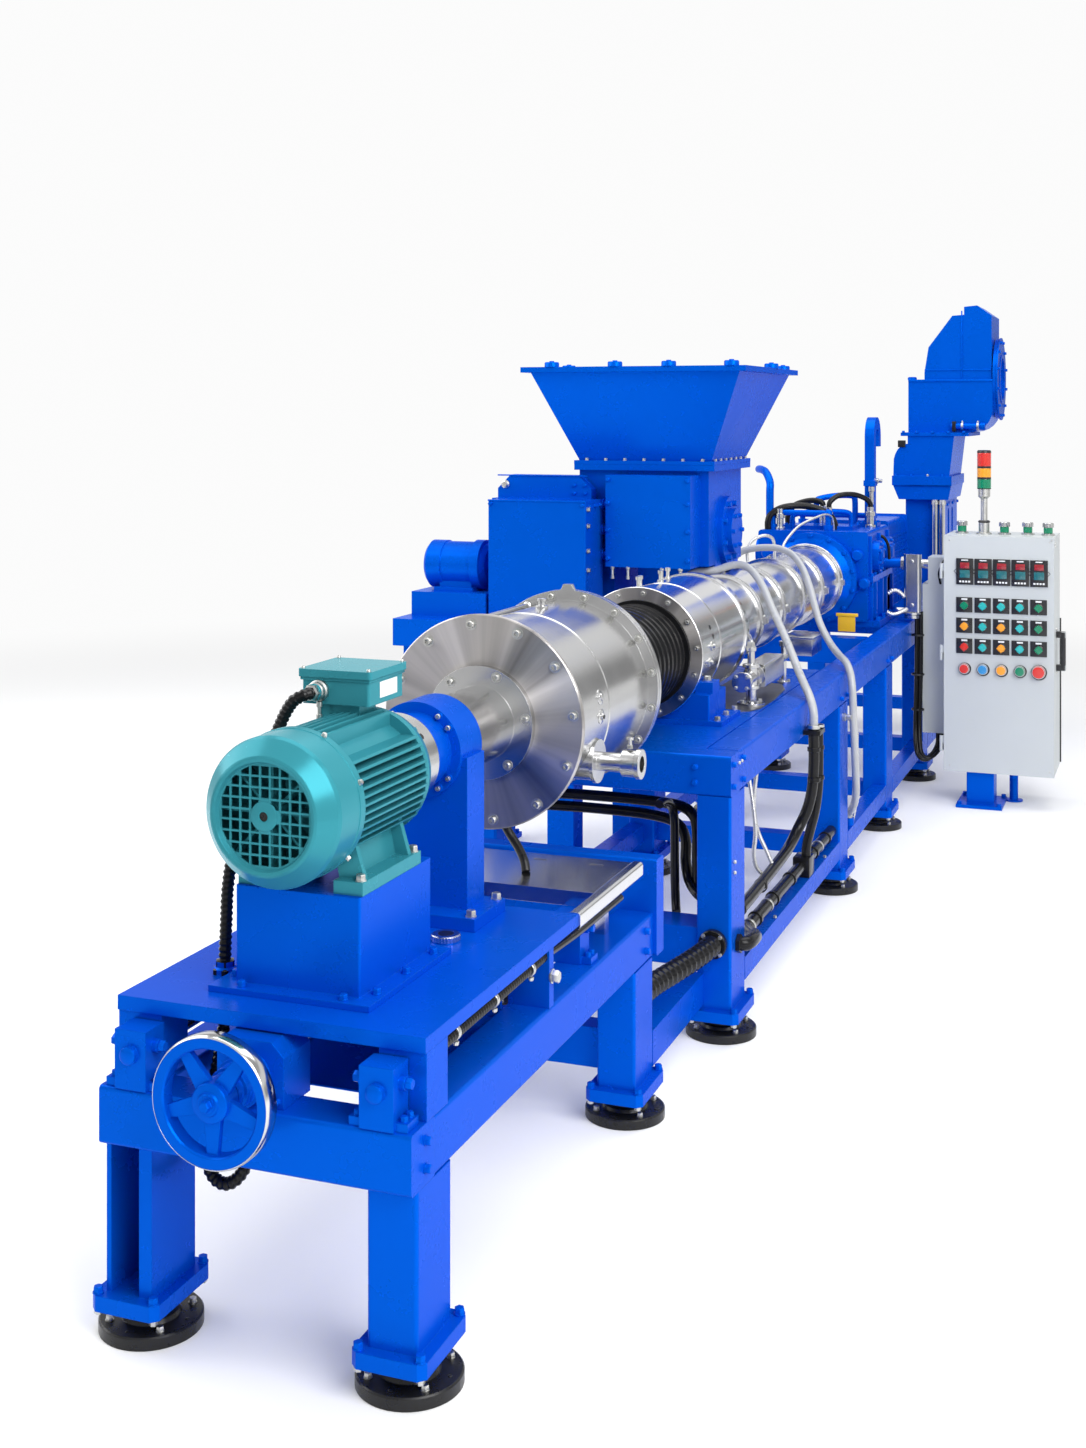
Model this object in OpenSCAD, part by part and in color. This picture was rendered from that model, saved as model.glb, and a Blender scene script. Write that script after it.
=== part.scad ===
// Plastic extruder with a side feeder, a cutter drum on its own stand and a control cabinet.
// All lengths are in millimetres. Places are given in machine coordinates: the screw axis runs
// along Y above x = 0, y = 0 is the front face of the cutter stand, and z = 0 is the floor.

/* [Heights] */
// Height of the screw axis above the floor
axis_z = 1013; // [990:1:1060]
// Height of the top of the cutter stand
stand_top = 490; // [470:5:505]
// Height of the top of the cutter table
table_top = 642; // [630:1:655]
// Height of the top of the main frame
frame_top = 800; // [770:5:810]

/* [Levelling feet] */
// Diameter of a foot disc
foot_d = 200; // [180:5:220]
// Thickness of a foot disc
foot_t = 24; // [18:1:28]
// Diameter of the anchor holes in a foot disc
anchor_d = 14; // [10:1:16]
// Pitch circle diameter of the anchor holes
anchor_pcd = 160; // [152:1:164]
// Height of the underside of the leg plates
leg_plate_z = 60; // [56:1:75]
// Thickness of the leg plates
leg_plate_t = 30; // [20:1:36]
// How far a leg plate stands out round its leg
leg_plate_rim = 24; // [15:1:30]

/* [Cutter stand] */
// Width across the side beams
stand_w = 650; // [630:5:670]
// Length up to the rear beam
stand_l = 1440; // [1420:5:1460]
// Height of the hollow beams
stand_beam_h = 110; // [90:5:120]
// Width of the hollow beams
stand_beam_w = 100; // [80:5:110]
// Leg size across the machine
leg_w = 100; // [80:5:105]
// Leg size along the machine
leg_d = 150; // [120:5:160]
// Wall of the open legs
leg_wall = 10; // [6:1:14]
// Radius of the rounded edges of beams and boxed legs
edge_r = 8; // [4:1:12]

/* [Cutter table] */
// Length of the table
table_l = 815; // [800:5:840]
// Thickness of the table
table_t = 28; // [20:1:32]
// Diameter of the guide rods
rod_d = 34; // [24:1:40]
// Height of the guide rods above the stand
rod_lift = 67; // [60:1:72]
// Distance of each guide rod from the outer side of the stand
rod_inset = 69; // [63:1:75]
// Clearance round rods and shafts
rod_clear = 0.05; // [0.02:0.01:0.1]
// Length of the steel drain deck
deck_l = 290; // [260:5:310]
// Thickness of the steel drain deck
deck_t = 10; // [6:1:14]
// Distance of the drain deck's sides from the outer side of the stand
deck_inset = 25; // [20:1:30]

/* [Handwheel] */
// Outer diameter of the handwheel
wheel_d = 237; // [220:1:250]
// Width of the handwheel's rim along its shaft
rim_w = 34; // [26:1:38]
// Thickness of the handwheel's rim
rim_t = 24; // [18:1:28]
// Number of handwheel spokes
spoke_count = 5; // [3:1:6]
// Diameter of the handwheel's shaft
wheel_shaft_d = 30; // [20:1:34]

/* [Cutter motor] */
// Width of the motor plinth
plinth_w = 270; // [250:5:290]
// Length of the motor plinth
plinth_l = 323; // [300:1:340]
// Height of the motor's axis above its feet
motor_h = 171; // [160:1:176]
// Outer radius of the cooling fins
fin_r = 138; // [130:1:142]
// Radius of the motor frame between the fins
core_r = 112; // [104:1:120]
// Distance between cooling fins
fin_pitch = 16; // [13:0.5:20]
// Thickness of a cooling fin
fin_t = 5; // [3:0.5:7]
// Outer radius of the fan cover
fan_cover_r = 144; // [140:1:150]
// Radius of the fan cover's grille
grille_r = 98; // [90:1:104]
// Distance between the grille's bars
grille_pitch = 21; // [19:0.5:26]
// Width of a grille bar
grille_bar = 4; // [3:0.5:8]
// Sheet thickness of the fan cover
fan_cover_t = 4; // [3:0.5:6]

/* [Drum] */
// Radius of the drum's end flanges
drum_flange_r = 260; // [250:1:266]
// Radius of the drum's shell
drum_r = 232; // [220:1:240]
// Length between the outer faces of the drum's end flanges
drum_l = 637; // [610:1:650]
// Thickness of the drum's flanges
drum_flange_t = 14; // [10:1:18]
// Radius of the bearing head
head_r = 108; // [102:1:116]
// Radius of the shaft sleeve
sleeve_r = 91; // [84:1:98]
// Inner radius of the drum's outlet pipe
outlet_r = 20; // [16:1:22]
// Wall of the drum's outlet pipe
outlet_wall = 3.5; // [2:0.5:5]
// Radius of the bellows at the crests
bellows_r = 159; // [150:1:168]
// Number of bellows folds
bellows_folds = 14; // [10:1:18]

/* [Barrel] */
// Radius of the barrel's front flange
barrel_flange_r = 207; // [202:1:212]
// Radius of the first barrel cover
front_cover_r = 194; // [186:1:198]
// Length of the first barrel cover
front_cover_l = 615; // [580:5:640]
// Radius of the other barrel covers
cover_r = 150; // [144:1:156]
// How far the clamp bands stand out from the covers
band_rise = 9; // [6:1:12]
// Width of a clamp band
band_w = 30; // [22:1:40]
// Number of covers behind the first one
cover_count = 5; // [4:1:7]

/* [Main frame] */
// Width across the side beams
frame_w = 808; // [790:2:830]
// Length of the main frame
frame_l = 4980; // [4940:10:5020]
// Height of the side beams
frame_beam_h = 114; // [100:2:124]
// Width of the side beams
frame_beam_w = 100; // [90:2:110]
// Leg size along the machine
frame_leg_d = 160; // [140:5:180]
// Height of the underside of the lower rails
rail_z = 130; // [120:1:140]
// Height of the lower side rails
rail_h = 65; // [50:1:75]
// Thickness of the frame's deck plate
frame_deck_t = 12; // [8:1:16]

/* [Drive] */
// Width of the gearbox
gearbox_w = 500; // [470:5:530]
// Length of the gearbox
gearbox_l = 550; // [520:5:580]
// Height of the gearbox above the frame
gearbox_h = 426; // [400:1:440]
// Edge length of the main motor's frame
motor_w = 420; // [380:5:440]
// Length of the main motor
motor_l = 620; // [560:10:640]

/* [Feeder] */
// Outer width of the hopper at its mouth
hopper_w = 815; // [780:5:850]
// Outer width of the hopper at its foot
hopper_foot = 500; // [480:5:510]
// Height of the hopper
hopper_h = 362; // [340:2:380]
// Sheet thickness of the hopper
hopper_t = 6; // [4:1:10]
// Height of the hopper's foot above the floor
hopper_z = 1568; // [1560:1:1580]
// Height of the feeder platform
platform_z = 1000; // [980:5:1005]

/* [Control cabinet] */
// Width of the cabinet
cabinet_w = 476; // [450:2:500]
// Height of the cabinet
cabinet_h = 1055; // [1020:5:1100]
// Depth of the cabinet with its door
cabinet_d = 350; // [330:5:380]
// Sheet thickness of the cabinet
cabinet_t = 4; // [3:0.5:6]
// Height of the cabinet's underside above the floor
cabinet_z = 155; // [140:1:165]
// Thickness of the door
door_t = 22; // [18:1:26]
// Gap between the door and the cabinet
door_gap = 5; // [5:1:7]
// Diameter of the door's hinge pins
hinge_pin_d = 7; // [5:0.5:8]

/* [Hidden] */
$fn = 64;

// Gap between round faces that seat in each other
seat = 0.3;
eps = 0.01;

blue = [0.0, 0.18, 0.72];
steel = [0.72, 0.72, 0.74];
teal = [0.22, 0.52, 0.53];
pale_grey = [0.78, 0.8, 0.82];
black = [0.06, 0.06, 0.07];

// Places along the cutter stand
rear_beam_t = 60;
rear_beam_h = 245;
rear_beam_over = 10;
front_leg_y = 25;
block_w = 68;
block_d = 62;
block_h = 112;
post_y = block_d + 3;
post_d = 92;
post_w = 95;
rear_post_y = 690;
rear_post_d = 26;
table_y = 60;
deck_y = 1050;
plinth_y = 177;

// Places along the screw axis
fan_cover_y = 45;
fan_cover_l = 135;
motor_y = fan_cover_y + fan_cover_l;
motor_frame_l = 300;
shield_l = 40;
ring_y = motor_y + motor_frame_l + shield_l;
pillar_y = 724;
pillar_t = 96;
head_y = pillar_y - 8;
head_l = 120;
boss_y = ring_y + 100;
drum_y = 1093;
bellows_y = drum_y + drum_l;
barrel_y = 2345;
barrel_flange_t = 14;
barrel_end_y = 4810;
covers_y = barrel_y + barrel_flange_t + front_cover_l + 10;
cover_pitch = (barrel_end_y - covers_y) / cover_count;
adapter_y = barrel_end_y + 20;
gearbox_y = 4950;
guard_y = gearbox_y + gearbox_l;
main_motor_y = guard_y + 190;

// Places on the main frame
frame_y = 1923;
frame_end = frame_y + frame_l;
frame_x = frame_w / 2;
leg_top = frame_top - frame_beam_h;
leg_floor = leg_plate_z + leg_plate_t;
channel_rib = 28;
frame_leg_ys = [frame_y, 3500, 4520, 5560, frame_end - frame_leg_d];
frame_deck_l = 1500;
pedestal_y = barrel_y + 25;
pedestal_l = 200;
hopper_x = -298;
hopper_y = 3617;
platform_y = 3000;
platform_l = 900;
platform_right = -430;
tower_x = 192;
tower_y = 6500;
air_pipe_r = 15;

// Places at the cabinet and the handwheel
cabinet_x = 564;
cabinet_y = 5100;
cabinet_top = cabinet_z + cabinet_h;
handle_reach = 40;
wheel_x = -13;
wheel_y = -100;
wheel_z = stand_top + 53;
hub_l = 46;
hub_gap = 5;

// The footprint, with the part's origin at its middle
x_left = -1160;
x_right = cabinet_x + cabinet_w + handle_reach;
y_front = wheel_y - rim_w / 2 - 6;
mid_x = (x_left + x_right) / 2;
mid_y = (y_front + frame_end + leg_plate_rim) / 2;

// Moves machine coordinates into the part's frame
module placed() {
    translate([-mid_x, -mid_y, 0]) children();
}

// Box given by two opposite corners
module block(low, high) {
    translate(low) cube([high[0] - low[0], high[1] - low[1], high[2] - low[2]]);
}

// The same box on both sides of the middle plane
module pair(low, high) {
    block(low, high);
    block([-high[0], low[1], low[2]], [-low[0], high[1], high[2]]);
}

// Rectangle with rounded corners
module soft_rect(w, h, r) {
    square([w - 2 * r, h], center = true);
    square([w, h - 2 * r], center = true);
    for (x = [-1, 1]) for (y = [-1, 1])
        translate([x * (w / 2 - r), y * (h / 2 - r)]) circle(r = r, $fn = 32);
}

// Bars with rounded long edges, along each axis, between two opposite corners
module bar_y(low, high, r = edge_r) {
    size = high - low;
    translate([low[0] + size[0] / 2, low[1], low[2] + size[2] / 2])
        rotate([-90, 0, 0]) linear_extrude(size[1]) soft_rect(size[0], size[2], r);
}
module bar_x(low, high, r = edge_r) {
    size = high - low;
    translate([low[0], low[1] + size[1] / 2, low[2] + size[2] / 2])
        rotate([90, 0, 90]) linear_extrude(size[0]) soft_rect(size[1], size[2], r);
}
module bar_z(low, high, r = edge_r) {
    size = high - low;
    translate([low[0] + size[0] / 2, low[1] + size[1] / 2, low[2]])
        linear_extrude(size[2]) soft_rect(size[0], size[1], r);
}

// Rods along Y and X, given by the start, the length and the radius
module rod_y(start, length, r) {
    translate(start) rotate([-90, 0, 0]) cylinder(h = length, r = r);
}
module rod_x(start, length, r) {
    translate(start) rotate([0, 90, 0]) cylinder(h = length, r = r);
}

// Solid of revolution about a line along Y, from points of [radius, distance along Y]
module turned_y(start, profile) {
    translate(start) rotate([-90, 0, 0]) rotate_extrude($fn = 96) polygon(profile);
}

// Solid of revolution about an upright line
module turned_z(start, profile) {
    translate(start) rotate_extrude($fn = 64) polygon(profile);
}

// Outline in the XZ plane, extruded along Y
module plate_y(y, t, points) {
    translate([0, y + t, 0]) rotate([90, 0, 0]) linear_extrude(t) polygon(points);
}

// Square frustum that stands on z = 0
module frustum(w0, w1, h) {
    reach = max(w0, w1) + 10;
    outline = [[-w0 / 2, 0], [w0 / 2, 0], [w1 / 2, h], [-w1 / 2, h]];
    intersection() {
        rotate([90, 0, 0]) linear_extrude(reach, center = true) polygon(outline);
        rotate([90, 0, 90]) linear_extrude(reach, center = true) polygon(outline);
    }
}

// Unit direction of a route at point i
function route_dir(p, i) =
    let (a = p[max(i - 1, 0)], b = p[min(i + 1, len(p) - 1)]) (b - a) / norm(b - a);

// One ring of a swept tube
function ring(c, d, r, n) =
    let (u = cross(d, abs(d[1]) < 0.9 ? [0, 1, 0] : [1, 0, 0]), v = u / norm(u), w = cross(d, v))
    [for (k = [0 : n - 1]) c + r * (cos(k * 360 / n) * v + sin(k * 360 / n) * w)];

// Tube swept along a route
module swept_tube(p, r, n = 8) {
    m = len(p);
    points = [for (i = [0 : m - 1]) each ring(p[i], route_dir(p, i), r, n)];
    sides = [for (i = [0 : m - 2]) for (k = [0 : n - 1])
        each [[i * n + k, (i + 1) * n + (k + 1) % n, i * n + (k + 1) % n],
              [i * n + k, (i + 1) * n + k, (i + 1) * n + (k + 1) % n]]];
    ends = [[for (k = [0 : n - 1]) k], [for (k = [0 : n - 1]) m * n - 1 - k]];
    polyhedron(points = points, faces = concat(sides, ends));
}

// The cutter stand

module stand_side_beams() {
    x1 = stand_w / 2;
    color(blue) placed() for (s = [0, 1]) mirror([s, 0, 0])
        bar_y([x1 - stand_beam_w, stand_beam_w, stand_top - stand_beam_h], [x1, stand_l, stand_top]);
}

module stand_cross_beams() {
    x1 = stand_w / 2;
    bottom = stand_top - stand_beam_h;
    rear_x = x1 + rear_beam_over;
    color(blue) placed() {
        bar_x([-x1, 0, bottom], [x1, stand_beam_w, stand_top]);
        bar_x([-rear_x, stand_l, bottom], [rear_x, stand_l + rear_beam_t, bottom + rear_beam_h]);
        bar_x([stand_beam_w - x1, nut_y, bottom + 20], [x1 - stand_beam_w, nut_y + 60, stand_top - 20]);
        // Bearing of the feed screw, and the bulkhead behind it
        block([wheel_x - 40, nut_y, stand_top - 30], [wheel_x + 40, nut_y + 60, wheel_z + 36]);
        block([stand_beam_w - x1, nut_y + 59, bottom + 10],
              [x1 - stand_beam_w, nut_y + 59 + bulkhead_t, table_top - table_t - bulkhead_gap]);
    }
}

// Leg plate with chamfered corners, round a leg that starts at a corner
module leg_plate(x0, y0, w, d) {
    c = 14;
    a = w / 2 + leg_plate_rim;
    b = d / 2 + leg_plate_rim;
    translate([x0 + w / 2, y0 + d / 2, leg_plate_z]) linear_extrude(leg_plate_t)
        polygon([[-a, c - b], [c - a, -b], [a - c, -b], [a, c - b],
                 [a, b - c], [a - c, b], [c - a, b], [-a, b - c]]);
}

// Boxed leg on its plate
module box_leg(x0, y0, w, d, top) {
    bar_z([x0, y0, leg_floor - eps], [x0 + w, y0 + d, top]);
    leg_plate(x0, y0, w, d);
}

// Open leg on its plate: a channel that faces the front, with a stiff inner wall
module channel_leg(x0, y0, w, d, top) {
    t = leg_wall;
    block([x0, y0, leg_floor - eps], [x0 + t, y0 + d, top]);
    block([x0 + w - channel_rib, y0, leg_floor - eps], [x0 + w, y0 + d, top]);
    block([x0, y0 + d - t, leg_floor - eps], [x0 + w, y0 + d, top]);
    leg_plate(x0, y0, w, d);
}

rear_leg_y = stand_l - leg_d;

module stand_legs() {
    top = stand_top - stand_beam_h;
    color(blue) placed() for (y = [front_leg_y, rear_leg_y]) {
        channel_leg(-stand_w / 2, y, leg_w, leg_d, top);
        box_leg(stand_w / 2 - leg_w, y, leg_w, leg_d, top);
    }
}

// Middles of the feet
stand_foot_x = (stand_w - leg_w) / 2;
frame_foot_x = (frame_w - leg_w) / 2;
foot_spots = concat(
    [for (s = [-1, 1]) for (y = [front_leg_y, rear_leg_y]) [s * stand_foot_x, y + leg_d / 2]],
    [for (s = [-1, 1]) for (y = frame_leg_ys) [s * frame_foot_x, y + frame_leg_d / 2]]
);

// Disc with anchor holes, stepped hub and threaded stem
module levelling_foot(x, y) {
    translate([x, y, 0]) difference() {
        rotate_extrude($fn = 96) polygon([
            [0, 0], [foot_d / 2, 0], [foot_d / 2, foot_t - 3], [foot_d / 2 - 3, foot_t],
            [58, foot_t], [54, foot_t + 8], [44, foot_t + 10], [42, foot_t + 20],
            [22, foot_t + 22], [22, leg_plate_z], [0, leg_plate_z]]);
        for (a = [45 : 90 : 315])
            rotate([0, 0, a]) translate([anchor_pcd / 2, 0, -1]) cylinder(h = foot_t + 2, d = anchor_d);
    }
}

module levelling_feet() {
    color(black) placed() for (p = foot_spots) levelling_foot(p[0], p[1]);
}

// The cutter table on its rods and posts

rod_x = stand_w / 2 - rod_inset;
rod_z = stand_top + rod_lift;
rear_block_y = 985;

// Bearing block with its foot, clamp bolts and rod cap
module rod_block(x, y) {
    translate([x, y, stand_top]) {
        block([-block_w / 2, 0, 0], [block_w / 2, block_d, block_h]);
        block([-block_w / 2 - 24, 8, 0], [block_w / 2 + 24, block_d - 8, 16]);
        rod_x([-block_w / 2 - 12, block_d / 2, rod_lift + 12], block_w + 24, 13);
        rod_y([0, y == 0 ? -8 : block_d - 1, rod_lift], 9, 18);
    }
}

module rod_blocks() {
    color(blue) placed() for (s = [-1, 1]) for (y = [0, rear_block_y]) rod_block(s * rod_x, y);
}

screw_r = 14;
nut_y = 600;
bulkhead_t = 10;
bulkhead_gap = 18;

// Two guide rods and the feed screw between them
module guide_rods() {
    rod_end = rear_block_y - block_d;
    color(steel) placed() {
        for (s = [-1, 1]) rod_y([s * rod_x, block_d, rod_z], rod_end, rod_d / 2);
        rod_y([wheel_x, screw_box_y + screw_box_d, wheel_z], nut_y - screw_box_y - screw_box_d, screw_r);
    }
}

// Posts under the table, bored for the guide rods
module table_posts() {
    x1 = stand_w / 2;
    top = table_top - table_t;
    color(blue) placed() for (s = [-1, 1]) difference() {
        union() {
            for (y = [post_y, rear_post_y])
                block([s * (x1 - post_w / 2) - post_w / 2, y, stand_top],
                      [s * (x1 - post_w / 2) + post_w / 2, y + (y == post_y ? post_d : rear_post_d), top]);
        }
        rod_y([s * rod_x, post_y - 1, rod_z], table_l, rod_d / 2 + rod_clear);
    }
}

module cutter_table() {
    x1 = stand_w / 2;
    color(blue) placed() {
        block([-x1, table_y, table_top - table_t], [x1, table_y + table_l, table_top]);
        // Conduit gland on the left and the levelling disc on the right
        turned_z([gland_spot[0], gland_spot[1], table_top - eps],
                 [[0, 0], [24, 0], [24, 10], [19, 14], [19, 24], [0, 24]]);
        translate([127, 593, table_top - eps]) cylinder(h = 15, r = 30);
    }
}

// Steel drain deck behind the table, with its edge guard and its supports
module drain_deck() {
    x1 = stand_w / 2 - deck_inset;
    lip = 36;
    y1 = deck_y + deck_l;
    top = table_top - 2;
    guard_x = x1 + 18;
    color(steel) placed() {
        difference() {
            block([-x1, deck_y, top - deck_t], [x1, y1, top]);
            for (x = [60, 210]) block([x, y1 - 60, top - deck_t - 1], [x + 34, y1 - 46, top + 1]);
        }
        block([-x1, deck_y, top - lip], [x1, deck_y + 6, top - deck_t + eps]);
        block([-x1, y1 - 6, top - lip], [x1, y1, top - deck_t + eps]);
        // Edge guard from the table's rear corner to the deck's
        bar_y([x1 - eps, table_y + table_l, top - 34], [guard_x + 12, y1, top + 4], 9);
        // Supports down to the stand
        for (s = [-1, 1])
            block([s * rod_x - 14, y1 - 118, stand_top], [s * rod_x + 14, y1 - 90, top - deck_t + eps]);
    }
}

screw_box_y = 20;
screw_box_d = 100;
screw_box_h = 120;

// Housing of the handwheel's gear with its neck, bored for the wheel's shaft
module screw_gearbox() {
    neck = wheel_y + hub_l / 2 + hub_gap;
    x0 = wheel_x - 67;
    x1 = wheel_x + 73;
    z1 = stand_top + screw_box_h;
    color(blue) placed() difference() {
        union() {
            plate_y(screw_box_y, screw_box_d, [
                [x0, stand_top], [x1, stand_top], [x1, z1 - 26], [x1 - 26, z1], [x0 + 12, z1], [x0, z1 - 12]]);
            turned_y([wheel_x, neck, wheel_z], [
                [0, 0], [34, 0], [34, 18], [40, 20], [40, 50], [46, 52], [46, screw_box_y - neck + eps],
                [0, screw_box_y - neck + eps]]);
        }
        rod_y([wheel_x, neck - 1, wheel_z], screw_box_d + 40, wheel_shaft_d / 2 + rod_clear);
    }
}

// The cutter motor

module motor_plinth() {
    w = plinth_w / 2;
    y1 = plinth_y + plinth_l;
    rim = 38;
    color(blue) placed() {
        bar_z([-w, plinth_y, table_top + 11], [w, y1, axis_z - motor_h], 5);
        block([-w - rim, plinth_y - rim, table_top], [w + rim, y1 + 18, table_top + 12]);
    }
}

// Cross-section of the finned motor frame
module fin_section() {
    circle(r = core_r, $fn = 96);
    intersection() {
        circle(r = fin_r, $fn = 96);
        union() {
            side_reach = 5 * fin_pitch;
            for (z = [-side_reach : fin_pitch : side_reach])
                translate([-fin_r, z - fin_t / 2]) square([2 * fin_r, fin_t]);
            top_reach = 3 * fin_pitch;
            for (x = [-top_reach : fin_pitch : top_reach])
                translate([x - fin_t / 2, 0]) square([fin_t, fin_r]);
        }
    }
}

// Motor frame with its end shield, feet and shaft end
module motor_frame() {
    l = motor_frame_l;
    sole = axis_z - motor_h;
    fan_y = fan_cover_y + 18;
    color(teal) placed() {
        translate([0, motor_y + l, axis_z]) rotate([90, 0, 0]) linear_extrude(l) fin_section();
        turned_y([0, motor_y + l - 1, axis_z], [
            [0, 0], [fin_r - 4, 0], [fin_r - 4, 16], [fin_r - 12, shield_l + 1], [0, shield_l + 1]]);
        // Spigot in the fan cover
        rod_y([0, motor_y - 12, axis_z], 13, fan_cover_r - fan_cover_t - seat);
        // Feet with their webs
        for (s = [-1, 1]) {
            block([s * 104 - 31, motor_y + 8, sole], [s * 104 + 31, motor_y + l - 30, sole + 26]);
            for (y = [motor_y + 30, motor_y + l - 74])
                plate_y(y, 14, [[s * 62, axis_z - 88], [s * 104, axis_z - 66], [s * 128, sole + 25],
                                [s * 74, sole + 25]]);
            plate_y(motor_y + 30, l - 90, [[s * 70, axis_z - 84], [s * 84, axis_z - 78],
                                          [s * 98, sole + 25], [s * 84, sole + 25]]);
        }
        // Neck under the terminal box
        block([-72, motor_y + 218, axis_z + 96], [22, motor_y + 352 - 60, axis_z + 152]);
        // Shaft end and cooling fan behind the grille
        rod_y([0, fan_y + 8, axis_z], motor_y - fan_y - 8 + 1, 24);
        for (a = [0 : 45 : 315]) translate([0, fan_y + 20, axis_z]) rotate([0, a, 0])
            block([-2.5, 0, 20], [2.5, 46, 112]);
    }
}

// Fan cover: a cup whose front is a grid of openings round a hub
module fan_cover() {
    t = fan_cover_t;
    r = fan_cover_r;
    g = grille_r;
    hole = grille_pitch - grille_bar;
    n = ceil(g / grille_pitch);
    color(teal) placed() difference() {
        turned_y([0, fan_cover_y, axis_z], [
            [0, 8], [28, 8], [32, 10], [g, 10], [g + 4, 1], [g + 10, 0], [g + 15, 3],
            [r - 4, 34], [r, 42], [r, fan_cover_l - 20], [r + 1.5, fan_cover_l - 19], [r + 1.5, fan_cover_l],
            [r - t, fan_cover_l], [r - t, 44], [r - t - 4, 37], [g + 8, 10 + t], [0, 10 + t]]);
        intersection() {
            rod_y([0, fan_cover_y - 1, axis_z], 30, g - 2);
            for (i = [-n : n]) for (k = [-n : n])
                if (norm([i, k]) * grille_pitch < g - 4 && norm([i, k]) > 1.1)
                    block([i * grille_pitch - hole / 2, fan_cover_y - 1, axis_z + k * grille_pitch - hole / 2],
                          [i * grille_pitch + hole / 2, fan_cover_y + 29, axis_z + k * grille_pitch + hole / 2]);
        }
    }
}

terminal_y = motor_y + 205;
module terminal_box() {
    z0 = axis_z + 152;
    h = 56;
    color(teal) placed() {
        bar_z([-103, terminal_y, z0], [50, terminal_y + 160, z0 + h], 6);
        bar_z([-110, terminal_y - 7, z0 + h - 1], [57, terminal_y + 167, z0 + h + 15], 8);
        // Gland for the conduit
        rod_y([-62, terminal_y - 31, z0 + h / 2], 32, 17);
    }
}

// The bearing pillar, the drum and its shaft sleeves

// Steel ring behind the motor and steel sleeve in front of the drum
module shaft_sleeves() {
    r = sleeve_r;
    y0 = head_y + head_l;
    l = drum_y - y0;
    color(steel) placed() {
        turned_y([0, ring_y, axis_z], [[0, 0], [100, 0], [100, boss_y - ring_y], [0, boss_y - ring_y]]);
        turned_y([0, y0, axis_z], [
            [0, 0], [r - 4, 0], [r, 4], [r, l - 20], [138, l - 20], [138, l], [0, l]]);
    }
}

// Round bearing head on its column, with the boss towards the motor
module bearing_pillar() {
    y1 = pillar_y + pillar_t;
    color(blue) placed() {
        turned_y([0, boss_y, axis_z], [
            [0, 0], [85, 0], [85, head_y - boss_y], [head_r, head_y - boss_y],
            [head_r, head_y - boss_y + head_l], [0, head_y - boss_y + head_l]]);
        block([-120, pillar_y, table_top + 27], [120, y1, axis_z - 10]);
        block([-163, pillar_y - 60, table_top], [163, y1 + 20, table_top + 28]);
    }
}

module drum_front_flange() {
    r = drum_flange_r;
    t = drum_flange_t;
    color(steel) placed() turned_y([0, drum_y, axis_z], [
        [0, 0], [r - 3, 0], [r, 3], [r, t - 2], [r - 2, t], [0, t]]);
}

// Drum shell with its weld beads, and the double flange at its rear
module drum_shell() {
    t = drum_flange_t;
    r = drum_r;
    f = drum_flange_r;
    l = drum_l - t;
    back = l - 2 * t - 4;
    color(steel) placed() {
        turned_y([0, drum_y + t, axis_z], [
            [0, 0], [f - 8, 0], [f - 8, 7], [r, 9], [r, l * 0.42], [r + 2, l * 0.42 + 3], [r, l * 0.42 + 6],
            [r, back], [f, back], [f, back + t], [f - 6, back + t + 1], [f - 6, back + t + 3],
            [f, back + t + 4], [f, l], [0, l]]);
        // Lifting lug on the rear flange
        plate_y(drum_y + t + back, t, [[-22, axis_z + f - 4], [22, axis_z + f - 4], [12, axis_z + f + 16],
                                       [-12, axis_z + f + 16]]);
    }
}

outlet_y = 1300;
outlet_z = axis_z - 118;
outlet_end = 340;

// Branch on the drum with the clamped outlet pipe
module outlet_pipe() {
    ro = outlet_r + outlet_wall;
    color(steel) placed() difference() {
        union() {
            rod_x([150, outlet_y, outlet_z], 70, 48);
            rod_x([219, outlet_y, outlet_z], 10, 54);
            rod_x([228, outlet_y, outlet_z], outlet_end - 228, ro);
            rod_x([outlet_end - 48, outlet_y, outlet_z], 34, ro + 9);
            rod_x([outlet_end - 12, outlet_y, outlet_z], 12, ro + 13);
        }
        rod_x([216, outlet_y, outlet_z], outlet_end, outlet_r);
        rod_y([0, drum_y, axis_z], drum_l, drum_r + seat);
    }
}

// Bellows with rounded folds between two collars
module bellows() {
    length = barrel_y - bellows_y;
    collar = 14;
    step = (length - 2 * collar) / bellows_folds;
    valley = bellows_r - 15;
    profile = concat(
        [[valley - 10, 0], [bellows_r + 8, 0], [bellows_r + 8, collar - 1], [valley, collar]],
        [for (i = [0 : bellows_folds - 1])
            for (p = [[valley + 8, 0.12], [bellows_r, 0.32], [bellows_r, 0.68], [valley + 8, 0.88], [valley, 1]])
                [p[0], collar + (i + p[1]) * step]],
        [[bellows_r + 8, length - collar + 1], [bellows_r + 8, length], [valley - 10, length]]
    );
    color(black) placed() turned_y([0, bellows_y, axis_z], profile);
}

// The main frame

module main_side_beams() {
    x1 = frame_w / 2;
    color(blue) placed() for (s = [0, 1]) mirror([s, 0, 0])
        bar_y([x1 - frame_beam_w, frame_y + frame_beam_w, leg_top], [x1, frame_end, frame_top]);
}

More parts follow.
